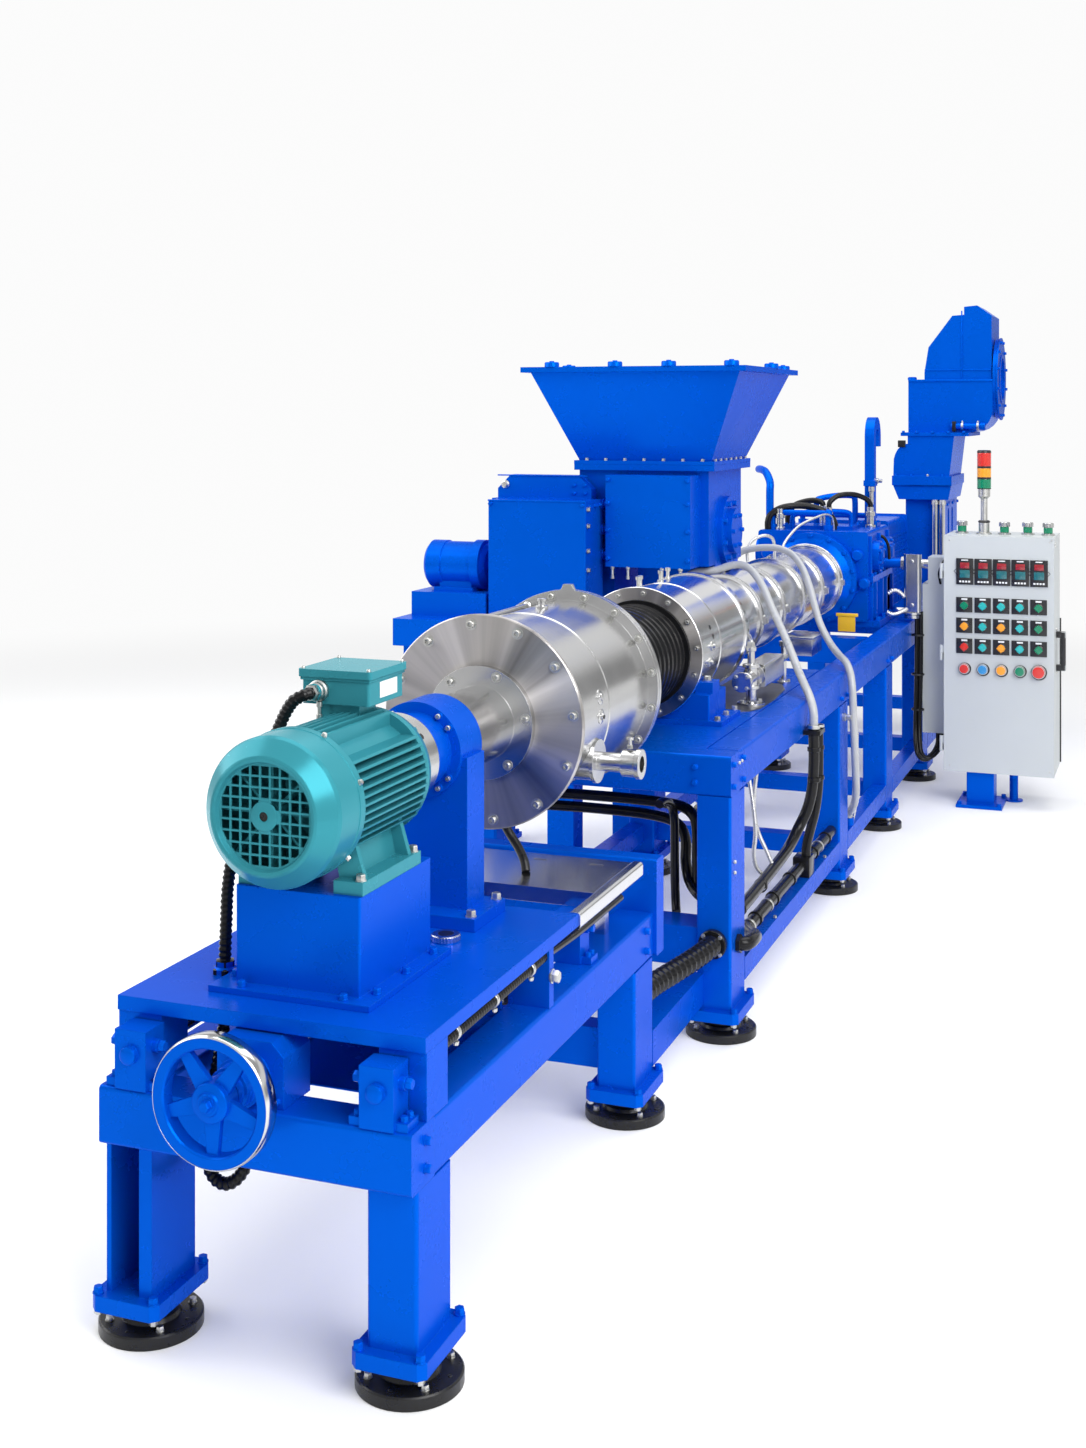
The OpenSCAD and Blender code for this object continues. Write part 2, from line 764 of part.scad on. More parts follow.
// Front beam, cross beams and the deck plate under the front of the barrel
module main_cross_beams() {
    x1 = frame_w / 2;
    inner = x1 - frame_beam_w;
    y0 = frame_y + frame_beam_w;
    color(blue) placed() {
        bar_x([-x1, frame_y, leg_top], [x1, y0, frame_top]);
        block([-inner, y0 - edge_r, frame_top - frame_deck_t], [inner, y0 + frame_deck_l, frame_top]);
        for (i = [1 : len(frame_leg_ys) - 1])
            block([-inner, frame_leg_ys[i] + 30, leg_top + 4],
                  [inner, frame_leg_ys[i] + 120, frame_top]);
    }
}

module main_legs() {
    color(blue) placed() for (y = frame_leg_ys) {
        box_leg(frame_w / 2 - leg_w, y, leg_w, frame_leg_d, leg_top);
        box_leg(-frame_w / 2, y, leg_w, frame_leg_d, leg_top);
    }
}

// Side rails between the legs, cross rails, and the links to the cutter stand
module lower_rails() {
    x1 = frame_w / 2;
    inner = x1 - leg_w;
    last = len(frame_leg_ys) - 1;
    link_x = stand_w / 2;
    link_top = rail_z + 60;
    color(blue) placed() {
        for (i = [0 : last - 1])
            pair([x1 - 60, frame_leg_ys[i] + frame_leg_d, rail_z], [x1, frame_leg_ys[i + 1], rail_z + rail_h]);
        for (i = [1 : last])
            block([-inner, frame_leg_ys[i] + 40, rail_z], [inner, frame_leg_ys[i] + 110, rail_z + rail_h]);
        block([-inner, frame_y + 12, link_top + 10], [inner, frame_y + 137, link_top + 120]);
        pair([link_x - 75, stand_l, leg_floor + 10], [link_x, frame_y, link_top]);
        block([leg_w - stand_w / 2, rear_leg_y + 40, leg_floor + 30],
              [stand_w / 2 - leg_w, rear_leg_y + 110, leg_floor + 130]);
        // Stub for the end of the rear hose
        translate([frame_x - 18, 3772, rail_z + rail_h - eps]) cylinder(h = 222 - rail_z - rail_h + eps, r = stub_r);
    }
}

// The barrel

// Saddle block under the barrel's front cover, with its ears
module barrel_pedestal() {
    y1 = pedestal_y + pedestal_l;
    top = axis_z - 122;
    color(blue) placed() difference() {
        union() {
            block([-262, pedestal_y - 10, frame_top], [262, y1 + 22, frame_top + 14]);
            bar_z([-220, pedestal_y, frame_top + 13], [220, y1, top], 5);
            for (s = [-1, 1])
                block([s * 192 - 28, pedestal_y + 40, top - eps], [s * 192 + 28, pedestal_y + 120, top + 34]);
        }
        rod_y([0, pedestal_y - 30, axis_z], pedestal_l + 60, front_cover_r + seat);
    }
}

module barrel_front_cover() {
    t = barrel_flange_t;
    r = front_cover_r;
    f = barrel_flange_r;
    l = front_cover_l;
    color(steel) placed() turned_y([0, barrel_y, axis_z], [
        [0, 0], [f - 2, 0], [f, 2], [f, t], [r, t], [r, l * 0.42], [r + 2, l * 0.42 + 3], [r, l * 0.42 + 6],
        [r, l - 34], [r + 5, l - 32], [r + 5, l + t - 8], [r - 8, l + t], [0, l + t]]);
}

// Covers with clamp bands, the lugs of the bands, the hose sockets and the rear flange
module barrel_covers() {
    r = cover_r;
    b = cover_r + band_rise;
    start = barrel_y + barrel_flange_t + front_cover_l;
    color(steel) placed() {
        rod_y([0, start, axis_z], covers_y - start + 1, r - 16);
        for (i = [0 : cover_count - 1]) {
            y = covers_y + i * cover_pitch;
            face = cover_pitch - band_w;
            turned_y([0, y, axis_z], [
                [0, 0], [r - 4, 0], [r, 4], [r, face], [b, face + 2], [b, face + 10], [b - 4, face + 12],
                [b - 4, cover_pitch - 12], [b, cover_pitch - 10], [b, cover_pitch - 2],
                [r - 4, cover_pitch + eps], [0, cover_pitch + eps]]);
            block([b - 10, y + face + 6, axis_z - 12], [b + 18, y + cover_pitch - 6, axis_z + 12]);
        }
        turned_y([0, barrel_end_y, axis_z], [[0, 0], [163, 0], [165, 2], [165, 20], [0, 20]]);
        for (y = [hose_socket_ys[0], hose_socket_ys[1]]) {
            block([hose_socket_x - 18, y - 18, axis_z + 26], [cover_r / -2, y + 18, axis_z + 50]);
            translate([hose_socket_x, y, axis_z + 49]) cylinder(h = 36, r = 18);
        }
    }
}

// Steel valve on the frame beside the barrel, with its pipes and the square coolant box
module valve_manifold() {
    x = 250;
    y = barrel_y + 436;
    z = frame_top + 92;
    color(steel) placed() {
        turned_z([x, y, frame_top], [
            [0, 0], [46, 0], [46, 9], [17, 12], [17, 52], [27, 54], [27, 64], [20, 66], [20, 122], [28, 124],
            [28, 134], [12, 136], [12, 176], [17, 178], [17, 190], [0, 190]]);
        rod_y([x, y - 128, z], 188, 21);
        rod_y([x, y - 132, z], 12, 32);
        rod_y([x, y + 34, z], 12, 36);
        bar_y([x - 34, y + 58, z - 42], [x + 34, y + 330, z + 34], 6);
        rod_y([x, y + 329, z], 180, 14);
        turned_z([x, y + 480, frame_top], [[0, 0], [24, 0], [24, 8], [10, 10], [10, 130], [16, 132], [16, 150], [0, 150]]);
    }
}

// The drive

// Gearbox with its barrel adapter, split line, bearing caps and inspection cover
module gearbox() {
    w = gearbox_w / 2;
    y0 = gearbox_y;
    y1 = gearbox_y + gearbox_l;
    top = frame_top + gearbox_h;
    color(blue) placed() {
        turned_y([0, adapter_y, axis_z], [
            [0, 0], [140, 0], [140, 44], [185, 62], [208, 66], [208, y0 - adapter_y - 2], [200, y0 - adapter_y + 1],
            [0, y0 - adapter_y + 1]]);
        bar_y([-w, y0, frame_top + 24], [w, y1, top], 14);
        block([-w - 50, y0 + 20, frame_top], [w + 50, y1 - 20, frame_top + 28]);
        block([-w - 22, y0 + 14, axis_z - 14], [w + 22, y1 - 14, axis_z + 14]);
        for (y = [y0 + 150, y0 + 422]) {
            rod_x([-w - 34, y, axis_z + 96], 2 * w + 68, 70);
            for (dy = [-88, 76]) block([-w - 30, y + dy, frame_top + 27], [w + 30, y + dy + 12, axis_z - 13]);
        }
        block([-w + 90, y0 + 120, top - 1], [w - 90, y1 - 240, top + 16]);
    }
}

// Oil lines over the gearbox: upright stubs with straight runs between them
module oil_run(x0, x1, y, rise, r) {
    z0 = frame_top + gearbox_h;
    for (x = [x0, x1]) {
        translate([x, y, z0]) cylinder(h = rise, r = r);
        translate([x, y, z0 + rise]) sphere(r = r + 6, $fn = 32);
        translate([x, y, z0]) cylinder(h = 24, r = r + 8);
    }
    rod_x([x0, y, z0 + rise], x1 - x0, r);
}

module oil_pipes() {
    color(blue) placed() {
        oil_run(-195, 60, gearbox_y + 60, 78, 13);
        oil_run(-150, 190, gearbox_y + 490, 46, 13);
    }
}

// Arched guard over the coupling
module coupling_guard() {
    r = 150;
    l = main_motor_y - guard_y;
    color(blue) placed() translate([0, guard_y + l, axis_z]) rotate([90, 0, 0]) linear_extrude(l)
        union() {
            circle(r = r, $fn = 96);
            translate([-r, frame_top - axis_z]) square([2 * r, axis_z - frame_top]);
        }
}

// Box frame motor with ribbed sides, end plates and feet
module main_motor() {
    w = motor_w / 2;
    y0 = main_motor_y;
    y1 = main_motor_y + motor_l;
    z0 = axis_z - w + 6;
    z1 = axis_z + w;
    color(blue) placed() {
        bar_y([-w, y0 + 24, z0], [w, y1 - 24, z1], 30);
        for (y = [y0, y1 - 25]) bar_y([-w - 10, y, z0 - 5], [w + 10, y + 25, z1 + 10], 24);
        for (z = [z0 + 50 : 40 : z1 - 50])
            block([-w - 8, y0 + 24, z], [w + 8, y1 - 24, z + 10]);
        for (s = [-1, 1])
            block([s * (w - 40) - 40, y0 + 60, frame_top], [s * (w - 40) + 40, y1 - 60, z0 + 20]);
    }
}

// Flat swan neck on the gearbox with its mouth hanging down
module gooseneck_vent() {
    x0 = 188;
    y0 = gearbox_y + 420;
    z0 = frame_top + gearbox_h;
    w = 56;
    t = 44;
    bend = 66;
    rise = 420;
    color(blue) placed() translate([x0, y0, z0]) rotate([0, 0, 90]) {
        translate([-w / 2 - 18, -t / 2 - 18, 0]) cube([w + 36, t + 36, 18]);
        translate([-w / 2, -t / 2, 0]) cube([w, t, rise + 1]);
        translate([-w / 2 - 5, -t / 2 - 5, 190]) cube([w + 10, t + 10, 26]);
        translate([bend, t / 2, rise]) rotate([90, 0, 0]) linear_extrude(t) difference() {
            circle(r = bend + w / 2, $fn = 96);
            circle(r = bend - w / 2, $fn = 96);
            translate([-200, -400]) square([400, 400]);
        }
        translate([2 * bend - w / 2, -t / 2, rise - 46]) cube([w, t, 47]);
    }
}

// The blower tower

column_h = 507;
skirt_h = 123;
neck_h = 227;

// Upright duct with its side plate and the pipe in front of it
module tower_column() {
    z1 = frame_top + column_h;
    color(blue) placed() {
        block([tower_x, tower_y - 90, frame_top], [tower_x + 186, tower_y + 380, z1]);
        difference() {
            block([tower_x + 186, tower_y - 100, frame_top], [tower_x + 206, tower_y + 380, z1]);
            for (y = [tower_y, tower_y + 150]) {
                block([tower_x + 180, y, z1 - 300], [tower_x + 210, y + 60, z1 - 80]);
                rod_x([tower_x + 180, y + 30, z1 - 80], 30, 30);
            }
        }
        block([tower_x - 20, tower_y - 120, frame_top], [tower_x + 212, tower_y + 390, frame_top + 14]);
    }
}

// Air pipes that stand on the side beam below the skirt
module tower_pipes() {
    color(steel) placed() for (x = [frame_x - 52, frame_x - 16]) {
        translate([x, tower_y - 138, frame_top]) cylinder(h = column_h, r = air_pipe_r);
    }
}

// Skirt, flange and curved neck between the duct and the blower
module tower_neck() {
    z0 = frame_top + column_h;
    z1 = z0 + skirt_h;
    z2 = z1 + neck_h;
    x0 = tower_x - 57;
    x1 = tower_x + 243;
    color(blue) placed() {
        plate_y(tower_y - 150, 500, [[x0 + 30, z0], [x1 - 14, z0], [x1, z1 - 50], [x0, z1 - 50]]);
        block([x0 - 4, tower_y - 160, z1 - 50 - eps], [x1 + 4, tower_y + 360, z1]);
        plate_y(tower_y - 140, 480, concat(
            [[x0, z1 - eps], [x1 - 10, z1 - eps], [x1 + 14, z2 - 18], [x0 + 75, z2 - 18]],
            [for (a = [0 : 15 : 75]) [x0 + 75 * (1 - cos(90 - a)), z2 - 18 - 40 - 110 * (1 - cos(a))]]));
        block([x0 + 40, tower_y - 150, z2 - 18 - eps], [x1 + 90, tower_y + 360, z2]);
    }
}

// Blower body with its sloped hood
module tower_hood() {
    z0 = frame_top + column_h + skirt_h + neck_h;
    x0 = tower_x;
    x1 = tower_x + 437;
    corner = 120;
    box_h = 279;
    color(blue) placed() {
        plate_y(tower_y, 400, concat(
            [[x0, z0], [x1 - corner, z0]],
            [for (a = [-75 : 15 : 0]) [x1 - corner + corner * cos(a), z0 + corner + corner * sin(a)]],
            [[x1, z0 + box_h], [x0, z0 + box_h]]));
        plate_y(tower_y + 14, 372, [
            [x0 + 83, z0 + box_h - 1], [x1 - 6, z0 + box_h - 1], [x1 - 6, z0 + 616], [x0 + 356, z0 + 670],
            [x0 + 289, z0 + 664], [x0 + 289, z0 + 622], [x0 + 228, z0 + 618], [x0 + 104, z0 + 452],
            [x0 + 83, z0 + 320]]);
    }
}

// Round fan casing on the blower's right side, open in its middle
module fan_casing() {
    x0 = tower_x + 437;
    z0 = frame_top + column_h + skirt_h + neck_h + 284;
    y = tower_y + 205;
    color(blue) placed() difference() {
        union() {
            rod_x([x0, y, z0], 20, 212);
            rod_x([x0 + 19, y, z0], 8, 220);
        }
        rod_x([x0 + 8, y, z0], 40, 112);
    }
}

// The side feeder

// Platform on four legs, with the motor's shelf and the housing's foot
module feeder_base() {
    y1 = platform_y + platform_l;
    h = 100;
    color(blue) placed() {
        block([x_left, platform_y, platform_z - h], [platform_right, y1, platform_z]);
        for (x = [x_left + 30, platform_right - 130]) for (y = [platform_y + 30, y1 - 130]) {
            block([x, y, 19], [x + 100, y + 100, platform_z - h + 1]);
            block([x - 30, y - 30, 0], [x + 130, y + 130, 20]);
        }
        block([x_left + 30, platform_y + 100, platform_z - 1], [-830, platform_y + 380, platform_z + 92]);
        block([-560, hopper_y - 200, platform_z - 1], [platform_right - 4, hopper_y + 200, feed_floor]);
    }
}

feed_floor = axis_z + 181;
feed_depth = 260;

// Feed housing with its front box, its bearing on the right and its throat over the barrel
module feed_housing() {
    x0 = hopper_x - 262;
    x1 = hopper_x + 262;
    top = hopper_z - 22;
    inner = hopper_foot / 2 - 20;
    color(blue) placed() difference() {
        union() {
            block([x0, hopper_y - 240, feed_floor], [x1 - 20, hopper_y + 240, top]);
            block([x0 - 10, hopper_y - 272, top - eps], [x1 + 10, hopper_y + 272, hopper_z]);
            block([hopper_x - 116, hopper_y - 367, feed_floor], [hopper_x + 208, hopper_y - 239, top - 14]);
            block([hopper_x - 60, hopper_y - 148, axis_z + 40], [hopper_x + 242, hopper_y + 190, feed_floor + 1]);
            rod_x([x1 - 21, hopper_y, feed_floor + 120], 22, 130);
            rod_x([x1, hopper_y, feed_floor + 120], 26, 84);
        }
        rod_y([0, hopper_y - 400, axis_z], 800, cover_r + band_rise + seat);
        block([hopper_x - inner, hopper_y - inner + 20, top + 22 - feed_depth],
              [hopper_x + inner - 20, hopper_y + inner - 20, hopper_z + 1]);
    }
}

// Hopper of sloped sheets with a bolting flange at its foot and a rim at its mouth
module hopper() {
    w = hopper_w;
    o = hopper_foot;
    t = hopper_t;
    rim = 20;
    color(blue) placed() translate([hopper_x, hopper_y, hopper_z]) difference() {
        union() {
            frustum(o, w, hopper_h);
            linear_extrude(14) square([o + 45, o + 45], center = true);
            translate([0, 0, hopper_h - rim]) linear_extrude(rim) square([w + 42, w + 42], center = true);
        }
        translate([0, 0, -1]) frustum(o - 2 * t - 1, w - 2 * t, hopper_h + 2);
    }
}

// Belt guard: front box, taller back box with chamfered shoulders, side bracket and bearing block
module belt_guard() {
    z0 = platform_z;
    y0 = platform_y + 100;
    y1 = platform_y + 300;
    h = 527;
    c = 52;
    x0 = -862;
    x1 = -486;
    color(blue) placed() {
        bar_z([-820, y0, z0], [-440, y1, z0 + 440], 6);
        plate_y(y1 - eps, 56, [[x0, z0 + 94], [x1, z0 + 94], [x1, z0 + h - c], [x1 - c, z0 + h],
                               [x0 + c, z0 + h], [x0, z0 + h - c]]);
        block([x0 + 10, y1 + 55, z0 + 94], [-572, y1 + 260, z0 + h - 70]);
        plate_y(y1 - 60, 60, [[-862, z0 + 440], [-819, z0 + 440], [-819, z0 + 230], [-834, z0 + 230],
                              [-862, z0 + 280]]);
    }
}

// Small foot motor along X
module feeder_motor() {
    x0 = -1110;
    l = 290;
    y = platform_y + 240;
    z = platform_z + 187;
    sole = platform_z + 92;
    color(blue) placed() {
        translate([x0, y, z]) rotate([0, 90, 0]) rotate_extrude($fn = 96) polygon([
            [0, 0], [76, 0], [90, 12], [90, 70], [86, 72], [86, l - 102], [94, l - 100], [94, l - 64],
            [80, l - 62], [60, l - 48], [20, l - 48], [20, l], [0, l]]);
        block([x0 + 60, y - 62, sole], [x0 + 190, y + 62, z - 50]);
        block([x0 + 46, y - 84, sole], [x0 + 204, y + 84, sole + 14]);
    }
}

// The control cabinet

hinge_x = cabinet_x - 13;
hinge_y = cabinet_y + door_t / 2;
hinge_r = 7;
hinge_l = 34;
hinge_zs = [cabinet_z + 120, cabinet_z + cabinet_h / 2, cabinet_top - 160];

// Cabinet body with its door opening, hinge pins, side handle and glands
module cabinet_shell() {
    x1 = cabinet_x + cabinet_w;
    y0 = cabinet_y + door_t + door_gap;
    y1 = cabinet_y + cabinet_d;
    t = cabinet_t;
    lip = 24;
    handle_z = cabinet_z + 455;
    handle_y = cabinet_y + 120;
    color(pale_grey) placed() {
        difference() {
            bar_z([cabinet_x, y0, cabinet_z], [x1, y1, cabinet_top], 3);
            block([cabinet_x + t, y0 + t, cabinet_z + t], [x1 - t, y1 - t, cabinet_top - t]);
            block([cabinet_x + lip, y0 - 1, cabinet_z + lip], [x1 - lip, y0 + t + 1, cabinet_top - lip]);
        }
        for (z = hinge_zs) {
            translate([hinge_x, hinge_y, z - hinge_l]) cylinder(h = hinge_l, r = hinge_r);
            translate([hinge_x, hinge_y, z - 1]) cylinder(h = hinge_l, d = hinge_pin_d);
            block([hinge_x - 5, hinge_y, z - hinge_l], [hinge_x + 5, y0 + 16, z]);
            block([hinge_x - 5, y0 + 4, z - hinge_l], [cabinet_x + eps, y0 + 16, z]);
        }
        // Side handle
        for (z = [handle_z, handle_z + 148])
            block([x1 - eps, handle_y, z], [x1 + handle_reach, handle_y + 28, z + 26]);
        bar_z([x1 + handle_reach - 20, handle_y, handle_z], [x1 + handle_reach, handle_y + 28, handle_z + 174], 5);
    }
}

module cabinet_pedestal() {
    x = cabinet_x + 156;
    y = cabinet_y + 90;
    color(blue) placed() {
        bar_z([x - 60, y - 60, 13], [x + 60, y + 60, cabinet_z], 6);
        block([x - 100, y - 120, 0], [x + 100, y + 120, 14]);
        turned_z([x + 130, y + 110, 0], [[0, 0], [40, 0], [40, 6], [19, 8], [19, cabinet_z], [0, cabinet_z]]);
    }
}

// Three-colour light on its pole
module signal_light() {
    x = cabinet_x + 160;
    y = cabinet_y + 150;
    color(steel) placed() {
        turned_z([x, y, cabinet_top], [
            [0, 0], [34, 0], [34, 6], [24, 10], [24, 58], [15, 62], [15, 160], [27, 172], [27, 206], [30, 208],
            [30, 250], [28, 252], [28, 256], [30, 258], [30, 300], [28, 302], [28, 306], [30, 308], [30, 372],
            [26, 378], [0, 378]]);
        for (p = [[-100, 20], [90, 0], [190, 20], [280, 0]])
            turned_z([x + p[0], y + p[1], cabinet_top], [
                [0, 0], [26, 0], [26, 8], [18, 10], [18, 36], [22, 38], [22, 56], [0, 56]]);
    }
}

trunk_y = cabinet_y + 130;
module cable_trunk() {
    color(pale_grey) placed() {
        bar_z([cabinet_x - 114, trunk_y, 296], [cabinet_x, trunk_y + 180, 978], 3);
        block([cabinet_x - 88, trunk_y, 977], [cabinet_x, trunk_y + 150, 1100]);
    }
}

// Pipe from the gearbox to the trunk with its aluminium cable duct
module support_arm() {
    x0 = gearbox_w / 2;
    x1 = cabinet_x - 88;
    y = trunk_y + 30;
    z = 1066;
    color(steel) placed() {
        rod_x([x0, y, z], x1 - x0, 22);
        rod_x([x0, y, z], 12, 34);
        bar_z([368, y - 60, 845], [448, y - 20, 1112], 16);
        block([386, y - 22, z - 14], [430, y - 4, z + 14]);
    }
}

// Conduits on the frame, as fixed runs

// Large conduit between the stand and the frame, with its collar, and the two side runs
link_conduit = [[284, stand_l, 268], [284, stand_l + 30, 268], [292, 1560, 268], [312, 1660, 269],
                [frame_x - 70, 1760, 272], [frame_x - 54, 1850, 275], [frame_x - 50, frame_y - 30, 276],
                [frame_x - 50, frame_y, 276]];
run_x = frame_x - 32;
drop_x = frame_x + 32;
side_conduit = [[frame_x, 1990, 262], [frame_x + 20, 1990, 262], [drop_x - 4, 2004, 262], [drop_x, 2030, 262],
                [drop_x - 2, 2070, 258], [frame_x + 20, 2120, 248], [frame_x - 4, 2172, 238],
                [frame_x - 24, 2220, 233], [run_x, 2280, 232], [run_x, 2700, 232], [run_x, 3300, 232],
                [run_x, frame_leg_ys[1], 232]];
upper_conduit = [[run_x, frame_y + frame_leg_d, 312], [run_x, 2110, 312], [run_x, 2300, 314], [run_x, 2700, 330],
                 [run_x + 2, 2820, 346], [frame_x - 18, 2880, 384], [frame_x + 6, 2898, 440],
                 [drop_x - 8, 2894, 510], [drop_x, 2888, 600], [drop_x, 2886, 690], [drop_x, 2886, 722]];
branch_conduit = [[frame_x - 20, 3010, 262], [frame_x - 20, 3010, 280], [frame_x - 14, 3003, 312],
                  [frame_x + 2, 2984, 364], [drop_x - 10, 2958, 430], [drop_x + 4, 2938, 510],
                  [drop_x + 8, 2928, 600], [drop_x + 8, 2926, 690], [drop_x + 8, 2926, 722]];
conduit_r = 20;
stub_r = 20;

module frame_conduits() {
    x1 = frame_x;
    color(black) placed() {
        swept_tube(link_conduit, 30, 12);
        swept_tube(side_conduit, conduit_r, 12);
        swept_tube(upper_conduit, conduit_r - 2, 12);
        swept_tube(branch_conduit, conduit_r - 4, 12);
        // Collar on the front leg, junction box on the rail and clamp on the side beam
        rod_y([x1 - 50, frame_y - 22, 276], 22, 40);
        bar_z([x1 - 58, 2970, rail_z + rail_h], [x1, 3050, 262], 6);
        block([x1, 2864, leg_top + 10], [x1 + 58, 2946, leg_top + 26]);
    }
}

// Free cords, as they lie

hose_r = 14;
hose_socket_x = -166;
hose_socket_ys = [3415, 4150];
front_hose_route = [
    [-166, 3415, 1098], [-166, 3415, 1122], [-158, 3417, 1144], [-138, 3421, 1160], [-106, 3427, 1171],
    [-68, 3436, 1173], [-36, 3447, 1179], [2, 3456, 1193], [40, 3459, 1198], [76, 3452, 1188],
    [108, 3438, 1160], [140, 3412, 1122], [172, 3370, 1076], [208, 3316, 1030], [250, 3250, 982],
    [298, 3160, 930], [342, 3074, 880], [384, 2986, 842], [412, 2930, 816], [drop_x - 6, 2896, 786],
    [drop_x, 2887, 756], [drop_x, 2886, 738], [drop_x, 2886, 722]];
rear_hose_route = [
    [-166, 4150, 1098], [-166, 4150, 1125], [-158, 4152, 1160], [-134, 4156, 1186], [-94, 4160, 1200],
    [-36, 4160, 1208], [30, 4152, 1206], [90, 4130, 1184], [138, 4096, 1134], [176, 4048, 1068],
    [206, 4000, 1002], [244, 3930, 934], [300, 3830, 878], [354, 3734, 846], [396, 3654, 830],
    [frame_x + 18, 3604, 800], [frame_x + 30, 3582, 750], [frame_x + 34, 3576, 690], [frame_x + 36, 3576, 620],
    [frame_x + 38, 3584, 550], [frame_x + 38, 3600, 480], [frame_x + 36, 3624, 410], [frame_x + 30, 3660, 348],
    [frame_x + 18, 3700, 300], [frame_x + 4, 3734, 270], [frame_x - 8, 3758, 252],
    [frame_x - 16, 3770, 240], [frame_x - 18, 3772, 230], [frame_x - 18, 3772, 222]];

conduit_d = 26;
gland_spot = [-202, 249];
motor_conduit_route = [
    [-62, 354, 1193], [-62, 344, 1193], [-65, 334, 1192], [-74, 326, 1188], [-90, 324, 1178],
    [-108, 326, 1154], [-126, 328, 1120], [-148, 326, 1072], [-172, 320, 1016], [-194, 308, 950],
    [-208, 292, 878], [-212, 276, 806], [-206, 260, 744], [-202, 250, 700], [-202, 249, 684],
    [-202, 249, 666]];
loop_conduit_route = [
    [-202, 249, 614], [-202, 249, 580], [-202, 240, 520], [-202, 216, 460], [-203, 186, 400],
    [-200, 168, 348], [-188, 158, 306], [-168, 152, 278], [-142, 150, 270], [-118, 154, 282],
    [-102, 164, 310], [-96, 182, 352], [-95, 208, 410], [-95, 238, 470], [-95, 258, 530],
    [-95, 262, 580], [-95, 262, 614]];
trunk_cable_route = [
    [430, 5220, 845], [430, 5220, 800], [430, 5219, 700], [430, 5216, 600], [429, 5210, 500],
    [428, 5202, 410], [428, 5190, 330], [432, 5172, 262], [442, 5152, 214], [462, 5142, 194],
    [486, 5152, 194], [504, 5180, 208], [515, 5214, 226], [520, 5244, 246], [520, 5258, 266],
    [520, 5260, 282], [520, 5260, 296]];

module front_hose() {
    color(pale_grey) placed() swept_tube(front_hose_route, hose_r);
}

module rear_hose() {
    color(pale_grey) placed() swept_tube(rear_hose_route, hose_r);
}

module motor_conduit() {
    color(black) placed() swept_tube(motor_conduit_route, conduit_d / 2);
}

module loop_conduit() {
    color(black) placed() swept_tube(loop_conduit_route, conduit_d / 2);
}

module trunk_cable() {
    color(black) placed() swept_tube(trunk_cable_route, conduit_d / 2);
}

// The moving pieces

// Handwheel with a steel rim, tapered spokes, a hub and its shaft
module handwheel() {
    r = wheel_d / 2;
    w = rim_w / 2;
    color(blue) placed() translate([wheel_x, wheel_y, wheel_z]) rotate([-90, 0, 0]) {
        rotate_extrude($fn = 96) polygon([
            [r - rim_t, 4 - w], [r - rim_t + 3, -w], [r - 3, -w], [r, 4 - w],
            [r, w - 4], [r - 3, w], [r - rim_t + 3, w], [r - rim_t, w - 4]]);
        for (a = [0 : 360 / spoke_count : 359])
            rotate([0, 0, a + 18]) translate([0, 0, -6]) linear_extrude(12)
                polygon([[20, -18], [r - rim_t + 1, -11], [r - rim_t + 1, 11], [20, 18]]);
        rotate_extrude($fn = 64) polygon([
            [0, -w - 6], [20, -w - 6], [22, -w - 2], [34, -w], [36, 2 - w], [36, hub_l / 2], [0, hub_l / 2]]);
        cylinder(h = hub_l / 2 + 100, d = wheel_shaft_d);
    }
}

// Door with its instrument row, selector plates, push-buttons and hinge knuckles
module cabinet_door() {
    x0 = cabinet_x;
    x1 = cabinet_x + cabinet_w;
    plate_x = x0 + 56;
    pitch = 80;
    color(pale_grey) placed() {
        block([x0, cabinet_y, cabinet_z], [x1, cabinet_y + door_t, cabinet_top]);
        for (i = [0 : 4]) {
            x = plate_x + i * pitch;
            block([x, cabinet_y - 6, cabinet_top - 216], [x + 74, cabinet_y + 1, cabinet_top - 100]);
            for (k = [0 : 2]) {
                z = cabinet_top - 340 - k * 92;
                block([x, cabinet_y - 4, z], [x + 70, cabinet_y + 1, z + 66]);
                rod_y([x + 35, cabinet_y - 20, z + 30], 17, 16);
            }
            rod_y([x + 35, cabinet_y - 24, cabinet_top - 592], 25, i == 4 ? 27 : 21);
        }
        for (z = hinge_zs) difference() {
            union() {
                translate([hinge_x, hinge_y, z + 0.5]) cylinder(h = hinge_l, r = hinge_r);
                block([hinge_x, hinge_y - 5, z + 0.5], [x0 + eps, hinge_y + 5, z + 0.5 + hinge_l]);
            }
            translate([hinge_x, hinge_y, z - 1]) cylinder(h = hinge_l + 3, d = hinge_pin_d + 2 * rod_clear);
        }
    }
}

stand_side_beams();
stand_cross_beams();
stand_legs();
levelling_feet();
rod_blocks();
guide_rods();
table_posts();
cutter_table();
drain_deck();
screw_gearbox();
motor_plinth();
motor_frame();
fan_cover();
terminal_box();
shaft_sleeves();
bearing_pillar();
drum_front_flange();
drum_shell();
outlet_pipe();
bellows();
main_side_beams();
main_cross_beams();
main_legs();
lower_rails();
barrel_pedestal();
barrel_front_cover();
barrel_covers();
valve_manifold();
gearbox();
oil_pipes();
coupling_guard();
main_motor();
gooseneck_vent();
tower_column();
tower_pipes();
tower_neck();
tower_hood();
fan_casing();
feeder_base();
feed_housing();
hopper();
belt_guard();
feeder_motor();
cabinet_shell();
cabinet_pedestal();
signal_light();
cable_trunk();
support_arm();
frame_conduits();
front_hose();
rear_hose();
motor_conduit();
loop_conduit();
trunk_cable();
handwheel();
cabinet_door();
